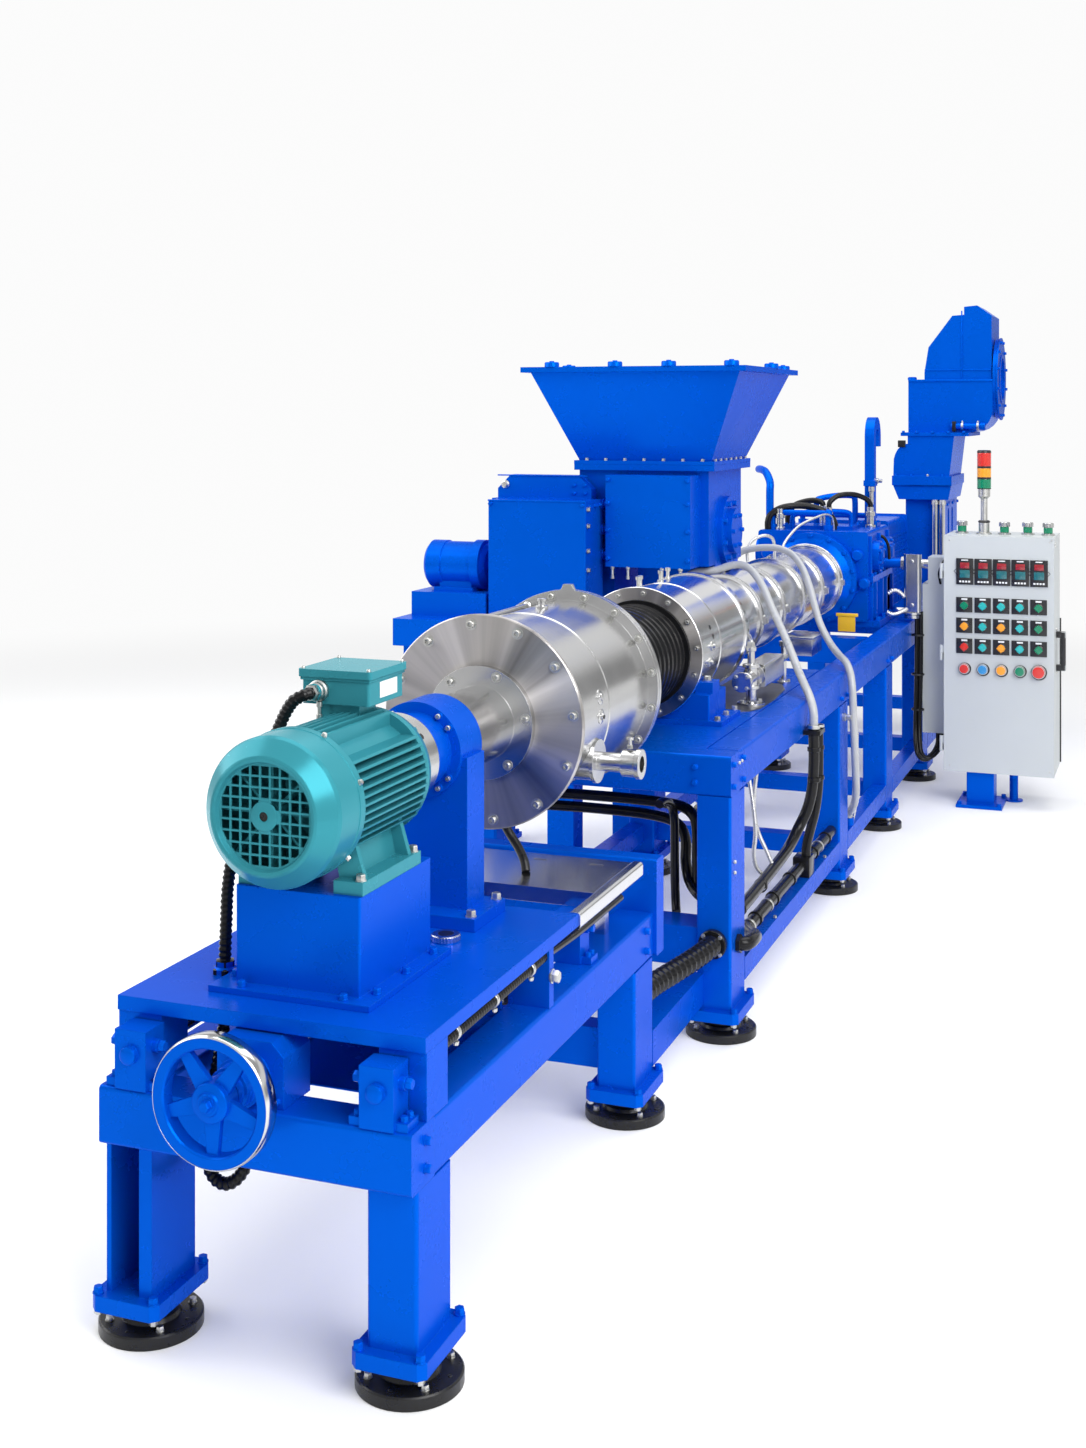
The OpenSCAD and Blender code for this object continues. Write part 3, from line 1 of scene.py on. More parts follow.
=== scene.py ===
"""Dresses the plastic extruder: finishes, fasteners, hoses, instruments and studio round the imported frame.

Places are given in the drawing's millimetres: x across the machine from the screw axis, y along it from the
front of the cutter stand, and z up from the floor. The function at() turns them into metres in the shared
frame.
"""

from __future__ import annotations

import logging
import math
from dataclasses import dataclass, field
from enum import Enum

import bmesh
import bpy
from mathutils import Matrix, Vector

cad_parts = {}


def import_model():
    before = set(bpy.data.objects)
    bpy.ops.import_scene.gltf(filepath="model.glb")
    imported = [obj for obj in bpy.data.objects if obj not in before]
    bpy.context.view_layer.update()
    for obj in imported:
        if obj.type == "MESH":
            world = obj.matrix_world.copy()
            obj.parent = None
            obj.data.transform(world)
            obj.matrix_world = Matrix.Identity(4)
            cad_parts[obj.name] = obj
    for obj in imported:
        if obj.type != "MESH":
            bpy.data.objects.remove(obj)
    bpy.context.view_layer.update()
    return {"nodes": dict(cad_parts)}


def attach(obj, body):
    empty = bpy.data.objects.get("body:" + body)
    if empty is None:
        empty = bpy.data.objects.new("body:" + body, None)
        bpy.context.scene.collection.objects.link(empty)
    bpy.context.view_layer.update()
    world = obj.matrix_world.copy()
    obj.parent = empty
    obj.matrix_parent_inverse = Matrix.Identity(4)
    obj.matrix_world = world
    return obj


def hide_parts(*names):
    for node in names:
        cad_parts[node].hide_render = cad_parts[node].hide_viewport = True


log = logging.getLogger("extruder")

Point = tuple[float, float, float]
Colour = tuple[float, float, float]
Profile = list[tuple[float, float]]
Pairs = tuple[tuple[float, float], ...]
Inputs = dict[str | int, float | tuple[float, ...] | bpy.types.NodeSocket]

MID_X = -40.0
MID_Y = 3402.0
AXIS_Z = 1013.0
MACHINE = "machine"
WHEEL = "wheel"
DOOR = "door"

# Clear coat, turned faces and their painted reflection fans, and the shares of a bolt's width that its head
# and its washer are high
COAT_ROUGHNESS = 0.12
SPUN_STREAK = 0.95
SPUN_TURN = 0.25
PAINTED_FAN_SCALE = 1.9
PAINTED_FAN_RANGE = (0.34, 0.66)
HEAD_HEIGHT = 0.62
WASHER_HEIGHT = 0.14


def at(x: float, y: float, z: float) -> Vector:
    """Place in the shared frame, in metres, of a point on the drawing in millimetres."""
    return Vector(((x - MID_X) / 1000.0, (y - MID_Y) / 1000.0, z / 1000.0))


class Axis(Enum):
    """Direction that a turned piece or a fastener points in."""

    RIGHT = (1.0, 0.0, 0.0)
    LEFT = (-1.0, 0.0, 0.0)
    REAR = (0.0, 1.0, 0.0)
    FRONT = (0.0, -1.0, 0.0)
    UP = (0.0, 0.0, 1.0)
    DOWN = (0.0, 0.0, -1.0)


# Nodes and finishes


class Graph:
    """Nodes of a material or of the world."""

    def __init__(self, tree: bpy.types.NodeTree) -> None:
        """Keeps the node tree."""
        self.tree = tree

    def feed(self, node: bpy.types.Node, inputs: Inputs) -> None:
        """Sets inputs of a node.

        Args:
            node: Node that takes the values.
            inputs: Plain value, or socket to join, for each input.
        """
        for key, value in inputs.items():
            if isinstance(value, bpy.types.NodeSocket):
                self.tree.links.new(value, node.inputs[key])
            else:
                node.inputs[key].default_value = value

    def add(self, kind: str, inputs: Inputs) -> bpy.types.Node:
        """Adds a node.

        Args:
            kind: Kind of the node.
            inputs: Plain value, or socket to join, for each input.

        Returns:
            The new node.
        """
        node = self.tree.nodes.new(kind)
        self.feed(node, inputs)
        return node


@dataclass(frozen=True)
class Finish:
    """Surface finish made of nodes.

    Attributes:
        name: Name of the material.
        colour: Linear base colour.
        roughness: Middle of the roughness.
        slot: Material slot of the record that the finish belongs to; not used.
        metallic: 1 for bare metal, 0 for the rest.
        coat: Weight of the clear coat.
        mottle: Share by which the colour varies, which on a spun finish is the depth of its painted
            reflection sectors.
        mottle_scale: Cells of the colour variation per metre.
        grain: Depth of the fine relief in metres.
        grain_scale: Cells of the fine relief per metre.
        stretch: How many times finer the relief is along each axis.
        edge: Radius of the softened edges in metres.
        rough_spread: Share by which the roughness varies.
        specular: Level of the mirror reflection, 0.5 for plain plastic or paint.
        tint: Colour of the mirror reflection.
        spun: Whether the relief runs in circles round the screw axis, as on a faced plate, and the colour
            carries painted reflection sectors round it.
    """

    name: str
    colour: Colour
    roughness: float
    slot: str
    metallic: float = 0.0
    coat: float = 0.0
    mottle: float = 0.06
    mottle_scale: float = 5.0
    grain: float = 0.00002
    grain_scale: float = 260.0
    stretch: Point = (1.0, 1.0, 1.0)
    edge: float = 0.0025
    rough_spread: float = 0.25
    specular: float = 0.5
    tint: Colour = (1.0, 1.0, 1.0)
    spun: bool = False

    def material(self) -> bpy.types.Material:
        """Material of this finish, built on its first use.

        Returns:
            The material.
        """
        known = bpy.data.materials.get(self.name)
        if known is not None:
            return known
        mat = bpy.data.materials.new(self.name)
        mat.use_nodes = True
        graph = Graph(mat.node_tree)
        shader = mat.node_tree.nodes["Principled BSDF"]
        graph.feed(shader, {
            "Base Color": (*self.colour, 1.0), "Roughness": self.roughness, "Metallic": self.metallic,
            "Coat Weight": self.coat, "Coat Roughness": COAT_ROUGHNESS, "Specular IOR Level": self.specular,
            "Specular Tint": (*self.tint, 1.0)})
        coords = graph.add("ShaderNodeTexCoord", {}).outputs["Object"]
        place = graph.add("ShaderNodeMapping", {"Vector": coords, "Scale": self.stretch})
        if self.spun:
            # Distance and direction from the screw axis alone, without the place along it
            across = Vector((1.0, 0.0, 1.0))
            graph.feed(place, {"Location": tuple(-at(0.0, 0.0, AXIS_Z) * across), "Scale": tuple(across)})
            circles = graph.add("ShaderNodeTangent", {})
            circles.direction_type = "RADIAL"
            circles.axis = "Y"
            graph.feed(shader, {"Anisotropic": SPUN_STREAK, "Anisotropic Rotation": SPUN_TURN,
                                "Tangent": circles.outputs["Tangent"]})
        self._tint(graph, shader, coords, place.outputs["Vector"])
        self._relief(graph, shader, place.outputs["Vector"])
        return mat

    def _tint(self, graph: Graph, shader: bpy.types.Node, coords: bpy.types.NodeSocket,
              place: bpy.types.NodeSocket) -> None:
        """Adds the variation of colour and roughness.

        Args:
            graph: Nodes of the material.
            shader: Shader that takes the colour.
            coords: Coordinates on the piece.
            place: Coordinates from the screw axis, for the painted reflection sectors of a spun finish.
        """
        cloud = graph.add("ShaderNodeTexNoise", {
            "Vector": coords, "Scale": self.mottle_scale, "Detail": 5.0, "Roughness": 0.62}).outputs["Fac"]
        # Random mottle of the colour, which a spun finish replaces with painted reflection sectors
        mottle_and_painted_fans = cloud
        if self.spun:
            # Painted reflection: sectors of lighter and darker colour round the turned face stand in for the
            # fans of highlight on a faced plate
            way = graph.add("ShaderNodeVectorMath", {0: place})
            way.operation = "NORMALIZE"
            painted_fans = graph.add("ShaderNodeTexNoise", {
                "Vector": way.outputs["Vector"], "Scale": PAINTED_FAN_SCALE, "Detail": 4.0, "Roughness": 0.6})
            mottle_and_painted_fans = graph.add("ShaderNodeMapRange",
                              {"Value": painted_fans.outputs["Fac"], "From Min": PAINTED_FAN_RANGE[0],
                               "From Max": PAINTED_FAN_RANGE[1]}).outputs["Result"]
        low = [c * (1.0 - self.mottle) for c in self.colour]
        high = [min(c * (1.0 + self.mottle) + 0.02 * self.mottle, 1.0) for c in self.colour]
        mix = graph.add("ShaderNodeMix", {})
        mix.data_type = "RGBA"
        # The colour runs from low to high by the random mottle, or on a spun finish by the painted reflection
        # sectors
        graph.feed(mix, {"Factor": mottle_and_painted_fans, "A": (*low, 1.0), "B": (*high, 1.0)})
        span = graph.add("ShaderNodeMapRange",
                         {"Value": cloud, "From Min": 0.3, "From Max": 0.7,
                          "To Min": self.roughness * (1.0 - self.rough_spread),
                          "To Max": min(self.roughness * (1.0 + self.rough_spread), 1.0)})
        graph.feed(shader, {"Base Color": mix.outputs["Result"], "Roughness": span.outputs["Result"]})

    def _relief(self, graph: Graph, shader: bpy.types.Node, place: bpy.types.NodeSocket) -> None:
        """Adds the fine relief and the softened edges.

        Args:
            graph: Nodes of the material.
            shader: Shader that takes the normal.
            place: Coordinates of the relief.
        """
        fine = graph.add("ShaderNodeTexNoise", {"Scale": self.grain_scale, "Detail": 2.0})
        if self.spun:
            reach = graph.add("ShaderNodeVectorMath", {0: place})
            reach.operation = "LENGTH"
            fine.noise_dimensions = "1D"
            graph.feed(fine, {"W": reach.outputs["Value"]})
        else:
            graph.feed(fine, {"Vector": place})
        bump = graph.add("ShaderNodeBump", {
            "Height": fine.outputs["Fac"], "Strength": 1.0, "Distance": self.grain})
        if self.edge > 0.0:
            soft = graph.add("ShaderNodeBevel", {"Radius": self.edge})
            soft.samples = 4
            graph.feed(bump, {"Normal": soft.outputs["Normal"]})
        graph.feed(shader, {"Normal": bump.outputs["Normal"]})


BLUE_ENAMEL = Finish("blue enamel", (0.0, 0.09, 0.58), 0.27, "blue_paint", metallic=0.35, mottle=0.04,
                     grain=0.000008, specular=0.06, tint=(0.03, 0.3, 1.0), rough_spread=0.1)
TEAL_ENAMEL = Finish("teal enamel", (0.035, 0.24, 0.29), 0.26, "teal_paint", metallic=0.25, mottle=0.05,
                     specular=0.15, tint=(0.3, 0.9, 1.0), rough_spread=0.1)
SHEET_STEEL = Finish("rolled stainless sheet", (0.66, 0.66, 0.67), 0.2, "brushed_stainless", metallic=1.0,
                     mottle=0.05, mottle_scale=2.2, grain=0.000006, grain_scale=6.0,
                     stretch=(60.0, 1.0, 60.0), edge=0.0015, rough_spread=0.15)
TURNED_STEEL = Finish("turned stainless", (0.56, 0.56, 0.56), 0.22, "brushed_stainless", metallic=1.0,
                      mottle=0.06, mottle_scale=3.0, grain=0.000012, grain_scale=5.0,
                      stretch=(1.0, 140.0, 1.0), edge=0.0015, rough_spread=0.15)
# Faced stainless: its colour carries painted reflection sectors, lighter and darker fans of highlight round
# the screw axis
FACED_STEEL_PAINTED_FANS = Finish("faced stainless with painted fans", (0.46, 0.44, 0.43), 0.33, "brushed_stainless", metallic=1.0,
                     mottle=0.4, mottle_scale=3.0, grain=0.000012, grain_scale=700.0, edge=0.0015,
                     rough_spread=0.12, spun=True)
GROUND_STEEL = Finish("ground steel", (0.6, 0.6, 0.6), 0.18, "polished_steel", metallic=1.0, mottle=0.06,
                      grain=0.000006, grain_scale=4.0, stretch=(1.0, 200.0, 1.0), edge=0.001)
ZINC = Finish("zinc plated steel", (0.55, 0.55, 0.53), 0.36, "polished_steel", metallic=1.0, mottle=0.15,
              mottle_scale=60.0, grain=0.00004, grain_scale=900.0, edge=0.0)
GREY_POWDER = Finish("grey powder coat", (0.5, 0.53, 0.54), 0.45, "grey_sheet", mottle=0.03, grain=0.00008,
                     grain_scale=700.0, edge=0.002)
BLACK_IRON = Finish("black iron", (0.009, 0.009, 0.01), 0.3, "black_iron", mottle=0.3, mottle_scale=30.0,
                    grain=0.00006, grain_scale=300.0, specular=0.3)
BLACK_CLOTH = Finish("rubber cloth", (0.005, 0.005, 0.006), 0.2, "black_rubber", mottle=0.3,
                     mottle_scale=25.0, grain_scale=500.0, edge=0.0, specular=0.07)
BLACK_SLEEVE = Finish("black conduit plastic", (0.006, 0.006, 0.007), 0.2, "black_sleeve", mottle=0.25,
                      mottle_scale=20.0, grain_scale=500.0, edge=0.0, specular=0.2)
GREY_HOSE = Finish("grey hose plastic", (0.4, 0.41, 0.42), 0.28, "grey_hose", coat=0.3, mottle=0.08,
                   grain=0.00005, grain_scale=400.0, edge=0.0)
RED_LENS = Finish("red lens", (0.62, 0.03, 0.02), 0.2, "light_lens", coat=0.4, mottle=0.05, edge=0.0)
AMBER_LENS = Finish("amber lens", (0.85, 0.33, 0.02), 0.2, "light_lens", coat=0.4, mottle=0.05, edge=0.0)
GREEN_LENS = Finish("green lens", (0.0, 0.21, 0.1), 0.2, "light_lens", coat=0.4, mottle=0.05, edge=0.0)
PALE_PLATE = Finish("pale plate", (0.74, 0.76, 0.77), 0.45, "grey_sheet", mottle=0.03, edge=0.0)
ARMOURED_LEAD = Finish("armoured lead", (0.6, 0.6, 0.6), 0.3, "polished_steel", metallic=1.0, mottle=0.15,
                       mottle_scale=40.0, grain=0.00003, grain_scale=700.0, edge=0.0)
DARK_STEEL = Finish("dark steel sheet", (0.2, 0.2, 0.21), 0.4, "brushed_stainless", metallic=1.0, mottle=0.2,
                    mottle_scale=6.0, grain=0.00005, grain_scale=300.0, edge=0.0)
YELLOW_ENAMEL = Finish("yellow enamel", (0.85, 0.5, 0.02), 0.35, "light_lens", mottle=0.05, edge=0.001)
BLACK_PLASTIC = Finish("black plastic", (0.012, 0.012, 0.014), 0.32, "black_sleeve", mottle=0.2,
                       mottle_scale=25.0, grain=0.00004, grain_scale=900.0, edge=0.0)
RED_WINDOW = Finish("red window", (0.3, 0.012, 0.02), 0.2, "light_lens", coat=0.5, mottle=0.3,
                    mottle_scale=90.0, edge=0.0)
TEAL_WINDOW = Finish("teal window", (0.01, 0.13, 0.15), 0.2, "light_lens", coat=0.5, mottle=0.4,
                     mottle_scale=90.0, edge=0.0)
TEAL_LENS = Finish("teal lens", (0.02, 0.42, 0.42), 0.25, "light_lens", coat=0.4, mottle=0.05, edge=0.0)
BLUE_LENS = Finish("blue lens", (0.03, 0.25, 0.55), 0.25, "light_lens", coat=0.4, mottle=0.05, edge=0.0)


class FrameDressing:
    """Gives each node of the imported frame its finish."""

    finish_of: dict[str, Finish] = {
        "levelling_feet": BLACK_IRON,
        "guide_rods": GROUND_STEEL,
        "tower_pipes": GROUND_STEEL,
        "drain_deck": SHEET_STEEL,
        "motor_frame": TEAL_ENAMEL,
        "fan_cover": TEAL_ENAMEL,
        "terminal_box": TEAL_ENAMEL,
        "shaft_sleeves": TURNED_STEEL,
        "drum_front_flange": FACED_STEEL_PAINTED_FANS,
        "drum_shell": TURNED_STEEL,
        "outlet_pipe": TURNED_STEEL,
        "bellows": BLACK_CLOTH,
        "barrel_front_cover": SHEET_STEEL,
        "barrel_covers": SHEET_STEEL,
        "valve_manifold": TURNED_STEEL,
        "cabinet_shell": GREY_POWDER,
        "cabinet_door": GREY_POWDER,
        "cable_trunk": GREY_POWDER,
        "signal_light": ZINC,
        "support_arm": GROUND_STEEL,
        "frame_conduits": BLACK_SLEEVE,
        "front_hose": GREY_HOSE,
        "rear_hose": GREY_HOSE,
        "motor_conduit": BLACK_SLEEVE,
        "loop_conduit": BLACK_SLEEVE,
        "trunk_cable": BLACK_SLEEVE,
    }

    def __init__(self, nodes: dict[str, bpy.types.Object]) -> None:
        """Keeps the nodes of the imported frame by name."""
        self.nodes = nodes

    def dress(self) -> None:
        """Sets the finish and the smooth shading of every node."""
        for name, node in self.nodes.items():
            finish = self.finish_of.get(name, BLUE_ENAMEL)
            node.data.materials.clear()
            node.data.materials.append(finish.material())
            node.data.set_sharp_from_angle(angle=math.radians(35.0))
        log.info("dressed %d nodes", len(self.nodes))


# Free cords


@dataclass
class Cord:
    """A free hose, conduit or cable.

    Attributes:
        name: Name of the piece.
        node: Node of the frame that the piece stands for.
        points: Route in millimetres, as in the part's source.
        diameter: Outer diameter in millimetres.
        finish: Finish of the cord.
        ribbed: Whether it has the rings of corrugated conduit.
    """

    name: str
    node: str
    points: list[Point]
    diameter: float
    finish: Finish
    ribbed: bool = False

    def build(self) -> bpy.types.Object:
        """Returns:
            The new object.
        """
        route = [at(*p) for p in self.points]
        radius = self.diameter / 2000.0
        mesh = bmesh.new()
        sweep(mesh, route, radius, self.ribbed)
        piece = finished(self.name, mesh, self.finish)
        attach(piece, MACHINE)
        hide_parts(self.node)
        return piece


def smooth_route(points: list[Vector], step: float) -> list[Vector]:
    """Points at an even distance on a smooth curve through a route.

    Args:
        points: Points that the curve passes through, in metres.
        step: Distance between the new points, in metres.

    Returns:
        The new points, with the first and last ones kept.
    """
    dense: list[Vector] = []
    for i in range(len(points) - 1):
        p0 = points[max(i - 1, 0)]
        p1, p2 = points[i], points[i + 1]
        p3 = points[min(i + 2, len(points) - 1)]
        pieces = max(int((p2 - p1).length / step * 3.0), 2)
        for k in range(pieces):
            t = k / pieces
            dense.append(0.5 * ((2.0 * p1) + (p2 - p0) * t + (2.0 * p0 - 5.0 * p1 + 4.0 * p2 - p3) * t * t
                                + (3.0 * p1 - p0 - 3.0 * p2 + p3) * t * t * t))
    dense.append(points[-1])
    even = [dense[0]]
    left = step
    for a, b in zip(dense, dense[1:]):
        span = (b - a).length
        while span > 1e-9 and left <= span:
            a = a + (b - a) * (left / span)
            even.append(a.copy())
            span = (b - a).length
            left = step
        left -= span
    if (even[-1] - dense[-1]).length < step * 0.4:
        even.pop()
    even.append(dense[-1])
    return even


def finished(name: str, mesh: bmesh.types.BMesh, finish: Finish, sharp: float = 40.0) -> bpy.types.Object:
    """Turns a working mesh into a linked object with its finish.

    Args:
        name: Name of the new object.
        mesh: Working mesh in the shared frame, which is freed.
        finish: Finish of the piece.
        sharp: Angle in degrees from which edges stay sharp.

    Returns:
        The new object.
    """
    bmesh.ops.recalc_face_normals(mesh, faces=mesh.faces)
    data = bpy.data.meshes.new(name)
    mesh.to_mesh(data)
    mesh.free()
    data.shade_smooth()
    data.set_sharp_from_angle(angle=math.radians(sharp))
    data.materials.append(finish.material())
    piece = bpy.data.objects.new(name, data)
    bpy.context.scene.collection.objects.link(piece)
    return piece


@dataclass
class FreeCords:
    """The hoses over the barrel and the motor's conduits."""

    front_hose: list[Point] = field(default_factory=lambda: [
        (-166, 3415, 1098), (-166, 3415, 1122), (-158, 3417, 1144), (-138, 3421, 1160), (-106, 3427, 1171),
        (-68, 3436, 1173), (-36, 3447, 1179), (2, 3456, 1193), (40, 3459, 1198), (76, 3452, 1188),
        (108, 3438, 1160), (140, 3412, 1122), (172, 3370, 1076), (208, 3316, 1030), (250, 3250, 982),
        (298, 3160, 930), (342, 3074, 880), (384, 2986, 842), (412, 2930, 816), (430, 2896, 786),
        (436, 2887, 756), (436, 2886, 738), (436, 2886, 722)])
    rear_hose: list[Point] = field(default_factory=lambda: [
        (-166, 4150, 1098), (-166, 4150, 1125), (-158, 4152, 1160), (-134, 4156, 1186), (-94, 4160, 1200),
        (-36, 4160, 1208), (30, 4152, 1206), (90, 4130, 1184), (138, 4096, 1134), (176, 4048, 1068),
        (206, 4000, 1002), (244, 3930, 934), (300, 3830, 878), (354, 3734, 846), (396, 3654, 830),
        (422, 3604, 800), (434, 3582, 750), (438, 3576, 690), (440, 3576, 620), (442, 3584, 550),
        (442, 3600, 480), (440, 3624, 410), (434, 3660, 348), (422, 3700, 300), (408, 3734, 270),
        (396, 3758, 252), (388, 3770, 240), (386, 3772, 230), (386, 3772, 222)])
    motor_conduit: list[Point] = field(default_factory=lambda: [
        (-62, 354, 1193), (-62, 344, 1193), (-65, 334, 1192), (-74, 326, 1188), (-90, 324, 1178),
        (-108, 326, 1154), (-126, 328, 1120), (-148, 326, 1072), (-172, 320, 1016), (-194, 308, 950),
        (-208, 292, 878), (-212, 276, 806), (-206, 260, 744), (-202, 250, 700), (-202, 249, 684),
        (-202, 249, 666)])
    loop_conduit: list[Point] = field(default_factory=lambda: [
        (-202, 249, 614), (-202, 249, 580), (-202, 240, 520), (-202, 216, 460), (-203, 186, 400),
        (-200, 168, 348), (-188, 158, 306), (-168, 152, 278), (-142, 150, 270), (-118, 154, 282),
        (-102, 164, 310), (-96, 182, 352), (-95, 208, 410), (-95, 238, 470), (-95, 258, 530),
        (-95, 262, 580), (-95, 262, 614)])
    trunk_cable: list[Point] = field(default_factory=lambda: [
        (430, 5220, 845), (430, 5220, 800), (430, 5219, 700), (430, 5216, 600), (429, 5210, 500),
        (428, 5202, 410), (428, 5190, 330), (432, 5172, 262), (442, 5152, 214), (462, 5142, 194),
        (486, 5152, 194), (504, 5180, 208), (515, 5214, 226), (520, 5244, 246), (520, 5258, 266),
        (520, 5260, 282), (520, 5260, 296)])

    def build(self) -> None:
        for cord in (
            Cord("water_hose_front", "front_hose", self.front_hose, 28.0, GREY_HOSE),
            Cord("water_hose_rear", "rear_hose", self.rear_hose, 28.0, GREY_HOSE),
            Cord("motor_lead", "motor_conduit", self.motor_conduit, 26.0, BLACK_SLEEVE, ribbed=True),
            Cord("table_lead_loop", "loop_conduit", self.loop_conduit, 26.0, BLACK_SLEEVE, ribbed=True),
            Cord("trunk_lead", "trunk_cable", self.trunk_cable, 26.0, BLACK_SLEEVE),
        ):
            cord.build()
            log.info("laid %s", cord.name)


# Pieces made in mesh code


def circle(centre: Point, radius: float, count: int, axis: Axis, start: float = 0.0) -> list[Point]:
    """Places at even steps on a circle round an axis.

    Args:
        centre: Centre of the circle in millimetres.
        radius: Radius in millimetres.
        count: Number of places.
        axis: Axis of the circle.
        start: Angle of the first place in degrees.

    Returns:
        The places in millimetres.
    """
    x, y, z = centre
    places: list[Point] = []
    for k in range(count):
        a = math.radians(start) + 2.0 * math.pi * k / count
        u, v = radius * math.cos(a), radius * math.sin(a)
        if axis in (Axis.FRONT, Axis.REAR):
            places.append((x + u, y, z + v))
        elif axis in (Axis.UP, Axis.DOWN):
            places.append((x + u, y + v, z))
        else:
            places.append((x, y + u, z + v))
    return places


def grid(xs: tuple[float, ...], ys: tuple[float, ...], zs: tuple[float, ...]) -> list[Point]:
    """Every place with one of the given coordinates in each direction."""
    return [(x, y, z) for x in xs for y in ys for z in zs]


def radial(angle: float) -> Point:
    """Direction away from the screw axis at an angle in degrees, where 90 points up."""
    return math.cos(math.radians(angle)), 0.0, math.sin(math.radians(angle))


def on_barrel(angle: float, radius: float, y: float) -> Point:
    """Place round the screw axis, from the angle, the radius and the distance along the machine."""
    direction = radial(angle)
    return direction[0] * radius, y, AXIS_Z + direction[2] * radius


class Batch:
    """Pieces of one finish on one body, joined into one object."""

    def __init__(self, name: str, finish: Finish, body: str = MACHINE) -> None:
        """Starts an empty batch.

        Args:
            name: Name of the object.
            finish: Finish of all its pieces.
            body: Body that they ride on.
        """
        self.name = name
        self.finish = finish
        self.body = body
        self.mesh = bmesh.new()

    @staticmethod
    def placed(place: Point, axis: Axis | Point) -> Matrix:
        """Matrix that puts a piece drawn along +Z at a place.

        Args:
            place: Place in millimetres.
            axis: Direction in which +Z then points.

        Returns:
            The matrix.
        """
        along = Vector(axis.value if isinstance(axis, Axis) else axis).normalized()
        turn = Vector((0.0, 0.0, 1.0)).rotation_difference(along).to_matrix().to_4x4()
        return Matrix.Translation(at(*place)) @ turn

    def lathe(self, place: Point, axis: Axis | Point, profile: Profile, sides: int = 24,
              closed: bool = False) -> None:
        """Adds a turned piece; six sides make a hexagon head.

        Args:
            place: Start of the piece in millimetres.
            axis: Direction in which the profile runs.
            profile: Points of radius and distance in millimetres.
            sides: Number of sides.
            closed: Whether the last point joins the first, as on a ring.
        """
        matrix = self.placed(place, axis)
        steps = [2.0 * math.pi * k / sides for k in range(sides)]
        rings: list[list[bmesh.types.BMVert]] = []
        for radius, along in profile:
            turned = steps if radius > 1e-6 else steps[:1]
            points = (Vector((radius * math.cos(a), radius * math.sin(a), along)) / 1000.0 for a in turned)
            rings.append([self.mesh.verts.new(matrix @ point) for point in points])
        if closed:
            rings.append(rings[0])
        for a, b in zip(rings, rings[1:]):
            for k in range(sides):
                corners = (a[k % len(a)], a[(k + 1) % len(a)], b[(k + 1) % len(b)], b[k % len(b)])
                distinct = list(dict.fromkeys(corners))
                if len(distinct) > 2:
                    self.mesh.faces.new(distinct)
        if not closed:
            for ring in (rings[0], rings[-1]):
                if len(ring) > 2:
                    self.mesh.faces.new(ring)

    def turned(self, place: Point, axis: Axis | Point, profile: Profile, sides: int = 24) -> None:
        """Adds a turned piece with flat ends, whose profile leaves out the centres of the ends."""
        self.lathe(place, axis, [(0.0, profile[0][1]), *profile, (0.0, profile[-1][1])], sides)

    def bolt_circle(self, centre: Point, radius: float, count: int, axis: Axis, across: float,
                    start: float = 0.0) -> None:
        """Adds a circle of hexagon heads on washers, the first at an angle in degrees."""
        self.hex_bolts(circle(centre, radius, count, axis, start), axis, across)

    def hex_bolts(self, places: list[Point], axis: Axis | Point, across: float, washer: bool = True) -> None:
        """Adds hexagon heads, with the height that suits their width.

        Args:
            places: Places of their seats.
            axis: Direction that the heads point in.
            across: Width across the flats.
            washer: Whether they have washers.
        """
        r = across / 1.732
        base = WASHER_HEIGHT * across if washer else 0.0
        top = base + HEAD_HEIGHT * across
        for place in places:
            if washer:
                self.turned(place, axis, [(r * 1.12, -0.5), (r * 1.12, base)], 20)
            self.turned(place, axis, [(r, base - 0.3), (r, top - 0.1 * across), (r * 0.86, top)], 6)

    def cap_screws(self, places: list[Point], axis: Axis | Point, width: float, washer: bool = False) -> None:
        """Adds round heads with a recess.

        Args:
            places: Places of their seats.
            axis: Direction that the heads point in.
            width: Diameter of the heads.
            washer: Whether they have washers.
        """
        r = width / 2.0
        h = HEAD_HEIGHT * width
        for place in places:
            if washer:
                self.turned(place, axis, [(r * 1.5, -0.5), (r * 1.5, 1.6)])
            self.turned(place, axis, [(r, -0.5), (r, h * 0.86), (r * 0.86, h), (r * 0.52, h),
                                      (r * 0.48, h * 0.45)], 18)

    def domes(self, places: list[Point], axis: Axis | Point, width: float, height: float) -> None:
        """Adds domed heads.

        Args:
            places: Places of their seats.
            axis: Direction that the heads point in.
            width: Diameter of the heads.
            height: Height of the heads.
        """
        r = width / 2.0
        for place in places:
            self.lathe(place, axis, [(0.0, -0.5), (r, -0.5), (r, height * 0.4), (r * 0.86, height * 0.72),
                                     (r * 0.55, height * 0.94), (0.0, height)], 20)

    def ring(self, place: Point, axis: Axis | Point, inner: float, outer: float, length: float,
             soft: float = 1.0, sides: int = 48) -> None:
        """Adds a ring with softened outer edges."""
        self.lathe(place, axis, [(inner, 0.0), (outer - soft, 0.0), (outer, soft), (outer, length - soft),
                                 (outer - soft, length), (inner, length)], sides, closed=True)

